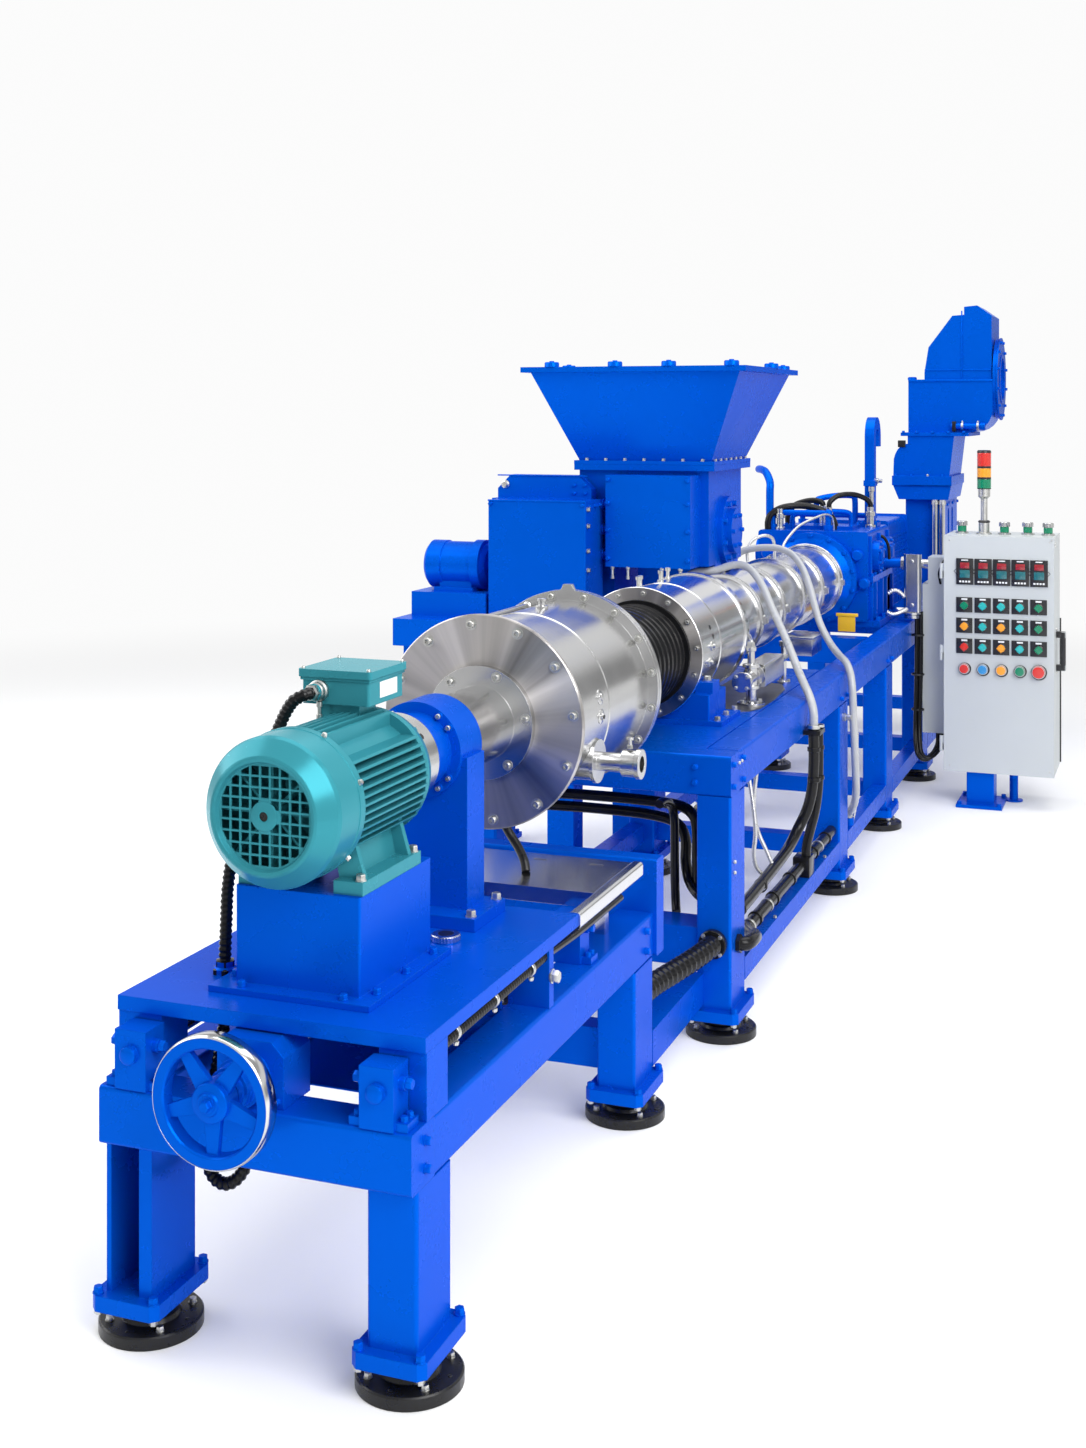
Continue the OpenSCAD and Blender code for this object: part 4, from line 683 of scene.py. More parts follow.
    def slab(self, low: Point, high: Point, soft: float = 1.5) -> None:
        """Adds a block between two corners.

        Args:
            low: Lowest corner in millimetres.
            high: Highest corner in millimetres.
            soft: Radius of its edges.
        """
        a, b = at(*low), at(*high)
        size = b - a
        matrix = Matrix.Translation((a + b) / 2.0) @ Matrix.Diagonal((size.x, size.y, size.z, 1.0))
        made = bmesh.ops.create_cube(self.mesh, size=1.0, matrix=matrix)
        edges = list({e for v in made["verts"] for e in v.link_edges})
        bmesh.ops.bevel(self.mesh, geom=edges, offset=min(soft / 1000.0, min(size) * 0.4), segments=2,
                        profile=0.6, affect="EDGES")

    def prism(self, outline: list[Point], step: Point) -> None:
        """Adds the solid that an outline sweeps when it moves by a step.

        Args:
            outline: Corners in millimetres, all in one plane.
            step: Movement in millimetres.
        """
        low = [self.mesh.verts.new(at(*p)) for p in outline]
        high = [self.mesh.verts.new(at(*(p[i] + step[i] for i in range(3)))) for p in outline]
        self.mesh.faces.new(low)
        self.mesh.faces.new(high)
        for k in range(len(low)):
            n = (k + 1) % len(low)
            self.mesh.faces.new((low[k], low[n], high[n], high[k]))

    def tube(self, points: list[Point], radius: float, ribbed: bool = False, sides: int = 16) -> None:
        """Adds a round tube on a smooth route through points in millimetres."""
        sweep(self.mesh, [at(*p) for p in points], radius / 1000.0, ribbed, sides)

    def build(self) -> bpy.types.Object:
        """Turns the batch into an object that rides on its body.

        Returns:
            The new object.
        """
        piece = finished(self.name, self.mesh, self.finish)
        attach(piece, self.body)
        log.info("made %s", self.name)
        return piece


def sweep(mesh: bmesh.types.BMesh, route: list[Vector], radius: float, ribbed: bool = False,
          sides: int = 20) -> None:
    """Adds a round tube along a route to a working mesh, with rings where it is corrugated.

    Args:
        mesh: Working mesh.
        route: Points that the tube follows, in metres.
        radius: Outer radius in metres.
        ribbed: Whether the tube has the rings of corrugated conduit.
        sides: Number of sides of the tube.
    """
    line = smooth_route(route, radius * 0.22 if ribbed else radius * 0.7)
    ahead = (line[1] - line[0]).normalized()
    side = Vector((1.0, 0.0, 0.0)) if abs(ahead.z) > 0.9 else Vector((0.0, 0.0, 1.0))
    rings: list[list[bmesh.types.BMVert]] = []
    for i, p in enumerate(line):
        ahead = (line[min(i + 1, len(line) - 1)] - line[max(i - 1, 0)]).normalized()
        side = (side - ahead * side.dot(ahead)).normalized()
        up = ahead.cross(side)
        r = radius * (1.0 if not ribbed or i % 4 in (1, 2) else 0.86)
        rings.append([mesh.verts.new(p + (side * math.cos(a) + up * math.sin(a)) * r)
                      for a in (2.0 * math.pi * k / sides for k in range(sides))])
    for a, b in zip(rings, rings[1:]):
        for k in range(sides):
            mesh.faces.new((a[k], a[(k + 1) % sides], b[(k + 1) % sides], b[k]))
    mesh.faces.new(list(reversed(rings[0])))
    mesh.faces.new(rings[-1])


# The cutter stand and its motor


@dataclass
class StandTrim:
    """Bolts of the feet, the leg plates, the rod blocks and the table.

    Attributes:
        stand_feet: Places of the stand's feet, across and along the machine.
        frame_feet: Places of the frame's feet.
        foot_top: Height of the foot discs' top.
        plate_low: Height of the leg plates' lower face.
        plate_top: Height of their upper face.
        rod_x: Distance of the guide rods from the middle.
        post: Place of the levelling ring on the table.
    """

    stand_feet: Pairs = tuple((x, y) for x in (-275.0, 275.0) for y in (100.0, 1365.0))
    frame_feet: Pairs = tuple(
        (x, y) for x in (-354.0, 354.0) for y in (2003.0, 3580.0, 4600.0, 5640.0, 6823.0))
    foot_top: float = 24.0
    plate_low: float = 60.0
    plate_top: float = 90.0
    rod_x: float = 256.0
    post: tuple[float, float] = (127.0, 593.0)

    def build(self) -> None:
        """Builds the trim of the stand and of all feet."""
        zinc = Batch("stand_zinc_bolts", ZINC)
        blue = Batch("stand_painted_bolts", BLUE_ENAMEL)
        black = Batch("foot_nuts", BLACK_IRON)
        for feet, dx, dy in ((self.stand_feet, 61, 86), (self.frame_feet, 61, 91)):
            for x, y in feet:
                zinc.bolt_circle((x, y, self.foot_top), 80, 4, Axis.UP, 13, 45)
                black.turned((x, y, 45), Axis.UP, [(34, 0), (34, 12), (30, 14.9)], 6)
                black.domes(circle((x, y, self.foot_top), 80, 4, Axis.UP, 0), Axis.UP, 9, 1.2)
                corners = grid((x - dx, x + dx), (y - dy, y + dy), (self.plate_top,))
                blue.hex_bolts(corners, Axis.UP, 17)
                zinc.hex_bolts([(px, py, self.plate_low) for px, py, _ in corners], Axis.DOWN, 15,
                               washer=False)
        for s in (-1, 1):
            for y0, face in ((0, Axis.FRONT), (985, Axis.REAR)):
                cap_y = -8 if face is Axis.FRONT else 1055
                blue.domes([(s * self.rod_x, cap_y, 557)], face, 34, 6)
                blue.hex_bolts(grid((s * self.rod_x - 46, s * self.rod_x + 46), (y0 + 20, y0 + 43), (506,)),
                               Axis.UP, 13)
                blue.hex_bolts([(s * self.rod_x + 46, y0 + 31, 569)], Axis.RIGHT, 19, washer=False)
                blue.hex_bolts([(s * self.rod_x - 46, y0 + 31, 569)], Axis.LEFT, 19, washer=False)
        # Screws of the hand feed's housing and nut on the rear post
        blue.hex_bolts(grid((44,), (45, 95), (520, 565)), Axis.RIGHT, 12)
        blue.hex_bolts(grid((-66, 46), (20,), (504,)), Axis.FRONT, 12)
        zinc.hex_bolts([(325, 703, 556)], Axis.RIGHT, 24)
        # Bolts where the cross beams meet the side beams
        blue.hex_bolts(grid((325,), (60, 1380), (410, 460)), Axis.RIGHT, 15)
        # Sheet under the hand feed, between the side beams
        blue.slab((-225, 264, 436), (225, 655, 440), 1)
        for batch in (zinc, blue, black):
            batch.build()
        self._table()

    def _table(self) -> None:
        """Builds the levelling ring, the gland and the conduit under the table's edge."""
        x, y = self.post
        steel = Batch("levelling_ring", TURNED_STEEL)
        steel.ring((x, y, 642.5), Axis.UP, 17, 30.7, 14.8, 1.5)
        for angle in range(0, 360, 12):
            a = math.radians(angle)
            steel.lathe((x + 30.4 * math.cos(a), y + 30.4 * math.sin(a), 645), Axis.UP, [(1.4, 0), (1.4, 10)],
                        6)
        steel.build()
        black = Batch("table_glands", BLACK_SLEEVE)
        black.turned((x, y, 656.8), Axis.UP, [(17, 0), (17, 0.9)])
        for z, face in ((642.3, Axis.UP), (613.7, Axis.DOWN)):
            black.turned((-202, 249, z), face, [(27, 0), (27, 9), (24, 11), (20, 11.5), (20, 24.5), (15, 26)],
                         6)
        black.tube([(311, 158, 596), (311, 300, 598), (310, 480, 598), (308, 690, 599)], 13, ribbed=True)
        black.tube([(308, 716, 596), (309, 900, 588), (309, 1100, 586), (309, 1222, 585)], 9)
        black.build()
        clips = Batch("table_conduit_clips", ZINC)
        for y in (210, 400, 600):
            clips.ring((310, y, 598), Axis.REAR, 12.5, 15.5, 12, 0.8, 24)
        clips.hex_bolts([(316, y, 582) for y in (216, 406, 606)], Axis.DOWN, 9)
        clips.build()


@dataclass
class HandwheelTrim:
    """Polished rim and shaft nut of the handwheel.

    Attributes:
        centre: Centre of the rim in millimetres.
    """

    centre: Point = (-13.0, -100.0, 543.0)

    def build(self) -> None:
        """Builds the rim and the nut on the wheel's body."""
        rim = Batch("handwheel_polished_rim", GROUND_STEEL, WHEEL)
        rim.lathe(self.centre, Axis.FRONT, [(115.4, -17.6), (116.2, -17.6), (119.2, -13.2), (119.2, 13.2),
                                            (116.2, 17.6), (115.4, 17.6)], 96, closed=True)
        rim.build()
        hub = Batch("handwheel_hub_nut", BLUE_ENAMEL, WHEEL)
        x, y, z = self.centre
        hub.turned((x, y - 22.8, z), Axis.FRONT, [(15, 0), (15, 1.6)])
        hub.hex_bolts([(x, y - 24, z)], Axis.FRONT, 19, washer=False)
        hub.build()


@dataclass
class MotorTrim:
    """Hub ring, screws, gland and feet bolts of the cutter motor.

    Attributes:
        lead: Rear end of the gland of the motor's lead.
    """

    lead: Point = (-62.0, 385.4, 1193.0)

    def build(self) -> None:
        """Builds the motor's trim."""
        teal = Batch("motor_teal_trim", TEAL_ENAMEL)
        teal.lathe((0, 53.2, AXIS_Z), Axis.FRONT,
                   [(9, -1), (9, 3.4), (11, 4), (17, 2.4), (25, 2.6), (28, 1.2), (28, -1)], 48, closed=True)
        # Rim under the terminal box's lid
        teal.slab((-106, 382, 1213), (53, 548, 1220.4), 2)
        teal.bolt_circle((0, 520, AXIS_Z), 116, 4, Axis.REAR, 15, 45)
        teal.build()
        dark = Batch("motor_dark_trim", BLACK_IRON)
        dark.turned((0, 53, AXIS_Z), Axis.FRONT, [(9.2, 0), (9.2, 0.8)])
        dark.build()
        zinc = Batch("motor_zinc_screws", ZINC)
        for angle in (20, 65, 160, 245, 320):
            zinc.hex_bolts([on_barrel(angle, 145.4, 171)], radial(angle), 9)
        zinc.cap_screws(grid((-101, 48), (387, 543), (1236,)), Axis.UP, 8)
        zinc.hex_bolts(grid((-124, 124), (202, 436), (868,)), Axis.UP, 17)
        # Gland of the motor lead and the breather beside it
        zinc.lathe(self.lead, Axis.FRONT, [(16.8, 0), (22, 0), (22, 10), (19.5, 12), (19.5, 22), (16.8, 24)],
                   24, closed=True)
        zinc.lathe((self.lead[0], 357, self.lead[2]), Axis.FRONT,
                   [(13.2, 0), (17.5, 0), (17.5, 11), (13.2, 13)], 6, closed=True)
        zinc.lathe((-56, 372, 1172), Axis.DOWN,
                   [(0, 0), (6, 0), (6, 10), (4, 12), (4, 24), (6.5, 26), (6.5, 36), (0, 38)], 12)
        zinc.build()
        plate = Batch("motor_blank_plate", PALE_PLATE)
        plate.slab((49.4, 434, 1176), (51.2, 514, 1209), 0.6)
        plate.build()
        blue = Batch("plinth_bolts", BLUE_ENAMEL)
        blue.hex_bolts([(x, 158, 654) for x in (-110, 110)] +
                       [(x, y, 654) for x in (-154, 154) for y in (210, 340, 470)], Axis.UP, 15)
        blue.build()


@dataclass
class DrumTrim:
    """Fasteners and fittings between the motor and the bellows.

    Attributes:
        head_angles: Angles of the screws round the pillar's head.
        buckle_y: Place of the shell's buckles along the machine.
    """

    head_angles: tuple[int, ...] = (35, 55, 125, 145, 215, 235, 305, 325)
    buckle_y: float = 1305.0

    def build(self) -> None:
        """Builds the trim of the pillar, the sleeves, the drum and its outlet."""
        zinc = Batch("drum_zinc_screws", ZINC)
        for angle in self.head_angles:
            zinc.cap_screws([on_barrel(angle, 96.5, 714)], Axis.FRONT, 12)
        zinc.hex_bolts(grid((-147, 147), (682, 826), (670,)), Axis.UP, 19)
        zinc.cap_screws(circle((0, 1073, AXIS_Z), 122, 6, Axis.FRONT, 8), Axis.FRONT, 17, washer=True)
        zinc.cap_screws(circle((0, 1093, AXIS_Z), 236, 12, Axis.FRONT, 7), Axis.FRONT, 19, washer=True)
        zinc.cap_screws(circle((0, 1698, AXIS_Z), 246, 16, Axis.FRONT, 11), Axis.FRONT, 16, washer=True)
        zinc.bolt_circle((0, 1730, AXIS_Z), 246, 16, Axis.REAR, 15, 11)
        zinc.hex_bolts([(309, 1300, 932)], Axis.UP, 12)
        zinc.build()
        steel = Batch("drum_steel_fittings", TURNED_STEEL)
        # Tie rod over the shell and the fittings on its top and on the outlet
        steel.turned(on_barrel(118, 243, 1107), Axis.REAR,
                     [(11, 0), (11, 12), (7, 15), (7, 576), (11, 579), (11, 591)], 20)
        steel.lathe((0, 1500, 1243), Axis.UP,
                    [(0, 0), (17, 0), (17, 8), (9, 10), (9, 18), (12, 20), (12, 27), (0, 28)], 16)
        steel.lathe((309, 1300, 938), Axis.UP, [(0, 0), (4.5, 0), (4.5, 14), (9, 15), (9, 22), (0, 23)], 12)
        # Buckle plates on the right side of the shell
        for angle in (10, -2):
            direction = radial(angle)
            steel.lathe(on_barrel(angle, 230.5, self.buckle_y), direction,
                        [(0, 0), (19, 0), (19, 2.5), (17, 3.5), (9, 4), (8, 9), (0, 10)], 32)
        steel.build()
        dark = Batch("drum_dark_fittings", BLACK_IRON)
        dark.turned(on_barrel(38, 99.2, 575), radial(38), [(7, 0), (7, 1.4)])
        dark.turned(on_barrel(-2, 240, self.buckle_y), radial(-2), [(5, 0), (5, 1.4)])
        # Drain hose below the drum
        dark.tube([(10, 1180, 784), (14, 1184, 760), (34, 1190, 722), (60, 1184, 690), (80, 1170, 664),
                   (88, 1160, 643)], 11)
        dark.build()
        blue = Batch("pillar_ribs", BLUE_ENAMEL)
        for angle in self.head_angles:
            blue.turned(on_barrel(angle, 96.5, 716), Axis.FRONT, [(10, 0), (9, 2)])
        blue.build()


# The barrel and the main frame


@dataclass
class BarrelTrim:
    """Screws, clamps and fittings of the barrel.

    Attributes:
        joints: Places of the rear covers' joints along the machine.
        hoses: Places of the water hoses along the machine.
    """

    joints: tuple[float, ...] = tuple(2984.0 + k * 365.2 for k in range(5))
    hoses: tuple[float, ...] = (3415.0, 4150.0)

    def build(self) -> None:
        """Builds the barrel's trim."""
        zinc = Batch("barrel_zinc_screws", ZINC)
        # The facing ring's colour carries painted reflection sectors round the screw axis
        facing = Batch("barrel_front_facing", FACED_STEEL_PAINTED_FANS)
        facing.ring((0, 2345.6, AXIS_Z), Axis.FRONT, 168, 205, 1, 0.3, 96)
        facing.build()
        zinc.cap_screws(circle((0, 2344.8, AXIS_Z), 188, 14, Axis.FRONT, 8), Axis.FRONT, 13, washer=True)
        zinc.cap_screws(circle((0, 4810, AXIS_Z), 157, 12, Axis.FRONT, 15), Axis.FRONT, 11)
        for y in (joint + 350 for joint in self.joints):
            zinc.cap_screws(grid((163,), (y - 6, y + 6), (1025,)), Axis.UP, 9)
            zinc.hex_bolts([(163, y, 1001)], Axis.DOWN, 9, washer=False)
        # Glands on top of the first cover
        for y, x in ((2470, -40), (2560, -62), (2680, -30), (2830, -50)):
            z = AXIS_Z + math.sqrt(194 ** 2 - x * x) - 1
            zinc.lathe((x, y, z), Axis.UP,
                       [(0, 0), (11, 0), (11, 7), (6, 8), (6, 26), (9, 27), (9, 38), (0, 40)], 12)
        zinc.hex_bolts(grid((241, -241), (2385, 2490, 2595), (814,)), Axis.UP, 17)
        zinc.hex_bolts(grid((192, -192), (2450,), (925,)), Axis.UP, 20)
        zinc.build()
        steel = Batch("barrel_steel_fittings", TURNED_STEEL)
        seams = Batch("barrel_seam_bands", DARK_STEEL)
        for y in (joint + 337 for joint in self.joints):
            for dy in (2, 23):
                steel.ring((0, y + dy, AXIS_Z), Axis.REAR, 157, 160.6, 3.4, 0.8, 72)
            steel.slab((156, y + 4, 1000), (171, y + 24, 1004), 1)
            seams.ring((0, y + 8, AXIS_Z), Axis.REAR, 156, 159.6, 12, 0.8, 72)
        # Worm clamps over the straps of the hoses' sockets, and the nuts where the hoses leave them
        for y in self.hoses:
            for angle in (97, 141):
                direction = radial(angle)
                steel.turned(on_barrel(angle, 149, y + 30), direction, [(9, 0), (9, 9), (7, 11)], 6)
        for y in self.hoses:
            steel.lathe((-166, y, 1088), Axis.UP,
                        [(15, 0), (21, 0), (21, 16), (17.5, 18), (17.5, 26), (14.6, 27)], 6, closed=True)
        steel.build()
        seams.build()
        dark = Batch("barrel_dark_slots", BLACK_IRON)
        for angle in range(-60, 200, 9):
            dark.turned(on_barrel(angle, 198, 2952), radial(angle), [(5, 0), (5, 1.4)], 4)
        for y in (joint + 350 for joint in self.joints):
            for angle in range(10, 178, 8):
                dark.turned(on_barrel(angle, 154, y), radial(angle), [(4.4, 0), (4.4, 2)], 4)
        # Latch slots on the first cover, above its buckles
        for angle, y in ((12, 2530), (21, 2520)):
            dark.turned(on_barrel(angle, 193, y), radial(angle), [(8, 0), (8, 1.8)], 12)
        dark.build()
        buckle = Batch("barrel_buckles", ZINC)
        for angle, y in ((-10, 2480), (4, 2500)):
            buckle.lathe(on_barrel(angle, 193.5, y), radial(angle),
                         [(0, 0), (15, 0), (15, 3), (7, 4), (6, 12), (0, 13)], 20)
        buckle.build()
        self._leads()
        self._valve()

    @staticmethod
    def _leads() -> None:
        """Builds the thin armoured leads over the rear covers."""
        leads = Batch("barrel_armoured_leads", ARMOURED_LEAD)
        leads.tube([(-104, 4180, 1120), (-112, 4182, 1180), (-100, 4200, 1226), (-62, 4240, 1250),
                    (-34, 4290, 1240), (-30, 4330, 1200), (-34, 4344, 1158)], 7, ribbed=True, sides=10)
        leads.tube([(-60, 4600, 1148), (-58, 4612, 1180), (-44, 4650, 1216), (-14, 4740, 1262),
                    (30, 4860, 1290), (60, 4960, 1300), (76, 5010, 1284), (80, 5030, 1244), (80, 5034, 1226)],
                   6, ribbed=True, sides=10)
        leads.build()

    @staticmethod
    def _valve() -> None:
        """Builds the bolts and flanges of the valve line, and the plate and box beside it."""
        zinc = Batch("valve_bolts", ZINC)
        zinc.bolt_circle((250, 2781, 809), 34, 4, Axis.UP, 12, 45)
        zinc.bolt_circle((250, 2649, 892), 25, 4, Axis.FRONT, 10, 45)
        zinc.bolt_circle((250, 2827, 892), 28, 4, Axis.REAR, 10, 45)
        zinc.hex_bolts([(250, 2781, 990)], Axis.UP, 22)
        zinc.bolt_circle((250, 3261, 808), 18, 3, Axis.UP, 9, 20)
        zinc.build()
        steel = Batch("valve_handle", TURNED_STEEL)
        steel.tube([(252, 2786, 1003), (246, 2800, 1010), (232, 2836, 1018), (220, 2862, 1020)], 5.5)
        steel.ring((250, 2690, 892), Axis.REAR, 20.5, 26, 14, 2)
        steel.ring((250, 3100, 892), Axis.REAR, 10, 24, 16, 2)
        steel.build()
        plate = Batch("drip_plate", DARK_STEEL)
        plate.prism([(60, 2625, 800), (236, 2625, 800), (276, 2650, 800), (298, 2710, 800), (302, 2900, 800),
                     (286, 3120, 800), (250, 3230, 800), (60, 3250, 800)], (0, 0, 3))
        plate.build()
        box = Batch("steel_box", SHEET_STEEL)
        box.slab((96, 3960, 800), (206, 4150, 868), 3)
        box.slab((90, 3954, 866), (212, 4156, 874), 2)
        box.build()
        tag = Batch("blank_tag", YELLOW_ENAMEL)
        tag.slab((150, 4772, 800), (226, 4780, 872), 2)
        tag.slab((142, 4768, 866), (238, 4784, 880), 3)
        tag.build()


@dataclass
class FrameTrim:
    """Conduits, hoses and fasteners of the main frame.

    Attributes:
        side_x: Right side of the frame.
    """

    side_x: float = 404.0

    def build(self) -> None:
        """Builds the frame's trim."""
        self._conduits()
        zinc = Batch("frame_zinc_screws", ZINC)
        zinc.hex_bolts(grid((self.side_x,), (1955,), (470, 500)), Axis.RIGHT, 9)
        zinc.bolt_circle((354, 1901, 276), 34, 4, Axis.FRONT, 9, 45)
        zinc.cap_screws(grid((self.side_x,), (2010, 2040), (768,)), Axis.RIGHT, 9)
        zinc.lathe((self.side_x, 3560, 640), Axis.RIGHT,
                   [(0, 0), (15, 0), (15, 10), (11, 12), (11, 30), (0, 31)], 12)
        zinc.build()
        blue = Batch("frame_painted_bolts", BLUE_ENAMEL)
        blue.hex_bolts(grid((self.side_x,), (1948, 2058), (712, 774)), Axis.RIGHT, 14)
        for y in (3500, 4520, 5560):
            blue.hex_bolts(grid((self.side_x,), (y + 30, y + 130), (712,)), Axis.RIGHT, 14)
        blue.hex_bolts(grid((-300, 300), (1923,), (722, 766)), Axis.FRONT, 14)
        blue.build()
        self._bay_hoses()

    def _conduits(self) -> None:
        """Builds the conduits along the frame in place of the plain ones."""
        x1 = self.side_x
        link = Batch("link_conduit", BLACK_SLEEVE)
        link.tube([(284, 1440, 268), (284, 1470, 268), (292, 1560, 268), (312, 1660, 269), (334, 1760, 272),
                   (350, 1850, 275), (354, 1893, 276), (354, 1923, 276)], 30, ribbed=True, sides=24)
        link.ring((354, 1901, 276), Axis.REAR, 26, 40, 22, 3)
        link.ring((284, 1440, 268), Axis.REAR, 26, 36, 18, 3)
        link.build()
        runs = Batch("side_conduits", BLACK_SLEEVE)
        runs.tube([(x1, 1990, 262), (x1 + 20, 1990, 262), (432, 2004, 262), (436, 2030, 262),
                   (434, 2070, 258), (424, 2120, 248), (400, 2172, 238), (380, 2220, 233), (372, 2280, 232),
                   (372, 2700, 232), (372, 3300, 232), (372, 3500, 232)], 20)
        runs.tube([(372, 2083, 312), (372, 2110, 312), (372, 2300, 314), (372, 2700, 330), (374, 2820, 346),
                   (386, 2880, 384), (410, 2898, 440), (428, 2894, 510), (436, 2888, 600), (436, 2886, 690),
                   (436, 2886, 722)], 18)
        runs.tube([(384, 3010, 262), (384, 3010, 280), (390, 3003, 312), (406, 2984, 364), (426, 2958, 430),
                   (440, 2938, 510), (444, 2928, 600), (444, 2926, 690), (444, 2926, 722)], 16)
        runs.slab((x1 - 58, 2970, 195), (x1, 3050, 262), 5)
        runs.slab((x1, 2864, 696), (x1 + 58, 2946, 712), 3)
        # Sleeves, nuts and straps on the runs
        for y in (2330, 2560, 2800, 3160, 3380):
            runs.ring((372, y, 232), Axis.REAR, 19.5, 23.5, 16, 1.5, 24)
        for y in (2140, 2400):
            runs.ring((372, y, 314), Axis.REAR, 17.5, 21.5, 16, 1.5, 24)
        for z in (540, 640):
            runs.ring((436, 2888, z), Axis.UP, 16, 21.5, 14, 1.5, 24)
            runs.ring((443, 2929, z), Axis.UP, 14, 19.5, 14, 1.5, 24)
        runs.ring((x1, 1990, 262), Axis.RIGHT, 18, 27, 14, 2, 6)
        piece = runs.build()
        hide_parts("frame_conduits")
        straps = Batch("conduit_straps", ZINC)
        for y in (2250, 2480, 3250):
            straps.ring((372, y, 232), Axis.REAR, 19.8, 22, 12, 0.6, 24)
            straps.hex_bolts([(346, y + 6, 197), (398, y + 6, 197)], Axis.UP, 9)
        straps.ring((436, 2886, 716), Axis.UP, 18.4, 21, 12, 0.8, 24)
        straps.ring((444, 2926, 716), Axis.UP, 16.4, 19, 8, 0.8, 24)
        straps.build()

    @staticmethod
    def _bay_hoses() -> None:
        """Builds the hoses inside the front bay and the armoured leads below the beam."""
        hoses = Batch("bay_hoses", BLACK_SLEEVE)
        hoses.tube([(-262, 2120, 610), (-120, 2130, 612), (60, 2130, 612), (190, 2124, 606), (240, 2110, 586),
                    (256, 2100, 548), (258, 2096, 480), (262, 2090, 400), (280, 2072, 350), (304, 2050, 334)],
                   16)
        hoses.tube([(-262, 2180, 560), (-100, 2190, 560), (80, 2190, 556), (170, 2180, 540), (204, 2160, 500),
                    (214, 2130, 440), (236, 2096, 392), (280, 2040, 372), (304, 2030, 372)], 16)
        hoses.tube([(180, 1973, 640), (182, 2010, 640), (186, 2060, 622), (190, 2090, 580), (190, 2096, 500),
                    (190, 2096, 420), (196, 2084, 340), (204, 2064, 310)], 13)
        hoses.build()
        leads = Batch("frame_armoured_leads", ARMOURED_LEAD)
        leads.tube([(330, 2420, 686), (332, 2420, 640), (344, 2420, 560), (350, 2430, 470), (340, 2450, 400),
                    (344, 2470, 350), (366, 2490, 320)], 7, ribbed=True, sides=10)
        leads.tube([(336, 2500, 686), (336, 2500, 640), (326, 2510, 560), (322, 2530, 500), (330, 2550, 440),
                    (350, 2560, 390), (368, 2570, 342)], 7, ribbed=True, sides=10)
        leads.tube([(404, 3690, 610), (424, 3690, 600), (430, 3692, 560), (428, 3700, 480), (426, 3716, 400),
                    (420, 3740, 330), (404, 3790, 250), (392, 3820, 212), (388, 3826, 195)], 8, ribbed=True,
                   sides=10)
        leads.build()


# The side feeder


@dataclass
class FeederTrim:
    """Bolts and fittings of the hopper, the feed housing and the belt guard.

    Attributes:
        centre: Hopper's centre, across and along the machine.
        rim: Distance of the rim's knobs from the centre.
        neck: Distance of the neck flange's bolts from the centre.
    """

    centre: tuple[float, float] = (-298.0, 3617.0)
    rim: float = 409.0
    neck: float = 262.0

    def build(self) -> None:
        """Builds the feeder's trim."""
        hx, hy = self.centre
        blue = Batch("feeder_painted_bolts", BLUE_ENAMEL)
        places = [(x, hy + side * self.rim, 1930) for x in (-609, -363, -159, 74) for side in (-1, 1)]
        places += [(hx + side * self.rim, 3666, 1930) for side in (-1, 1)]
        for place in places:
            blue.lathe(place, Axis.UP, [(0, -1), (27, -1), (27, 14), (24, 18), (9, 18), (9, 22), (0, 22.5)],
                       32)
        blue.hex_bolts(grid((-404, -100), (3250,), (1225, 1330, 1430, 1515)), Axis.FRONT, 15)
        blue.bolt_circle((-35, 3617, 1314), 109, 8, Axis.RIGHT, 18, 22.5)
        blue.bolt_circle((-10, 3617, 1314), 64, 6, Axis.RIGHT, 14)
        blue.hex_bolts(grid((-810, -450), (3100,), (1014, 1426)), Axis.FRONT, 13)
        blue.hex_bolts(grid((-552, -510), (3299,), (1460, 1490)), Axis.FRONT, 12)
        blue.hex_bolts([(-440, 3140 + 60 * k, z) for k in range(3) for z in (1020, 1420)], Axis.RIGHT, 12)
        for x in (-1145, -1015, -575, -445):
            blue.hex_bolts(grid((x,), (3015, 3145, 3755, 3885), (20,)), Axis.UP, 16)
        # Pipe ends between the belt guard and the feed housing, and the seams of the guard's lids
        for z in (1236, 1330, 1420):
            blue.lathe((-440, 3300, z), Axis.RIGHT, [(0, 0), (22, 0), (22, 6), (15, 8), (15, 26)], 20)
        blue.slab((-820, 3097, 1436), (-440, 3101, 1442), 1)
        blue.slab((-862, 3296, 1522), (-500, 3301, 1527), 1)
        blue.build()
        zinc = Batch("feeder_zinc_screws", ZINC)
        steps = [-225 + 75 * k for k in range(7)]
        zinc.hex_bolts([(hx + s, hy + e * self.neck, 1582) for s in steps for e in (-1, 1)] +
                       [(hx + e * self.neck, hy + s, 1582) for s in steps for e in (-1, 1)], Axis.UP, 12)
        for z in (1030, 1100, 1190, 1260, 1350, 1410):
            zinc.hex_bolts([(-440, 3122, z)], Axis.RIGHT, 15)
        zinc.lathe((-830, 3300, 1490), Axis.FRONT, [(0, 0), (16, 0), (16, 5), (10, 8), (10, 18), (0, 19)], 20)
        for x in (-390, -330, -200, -130):
            zinc.lathe((x, 3258, 1196), Axis.DOWN,
                       [(0, 0), (9, 0), (9, 9), (6, 11), (6, 34), (8, 35), (8, 46), (0, 47)], 12)
        zinc.build()


# The drive and the blower tower


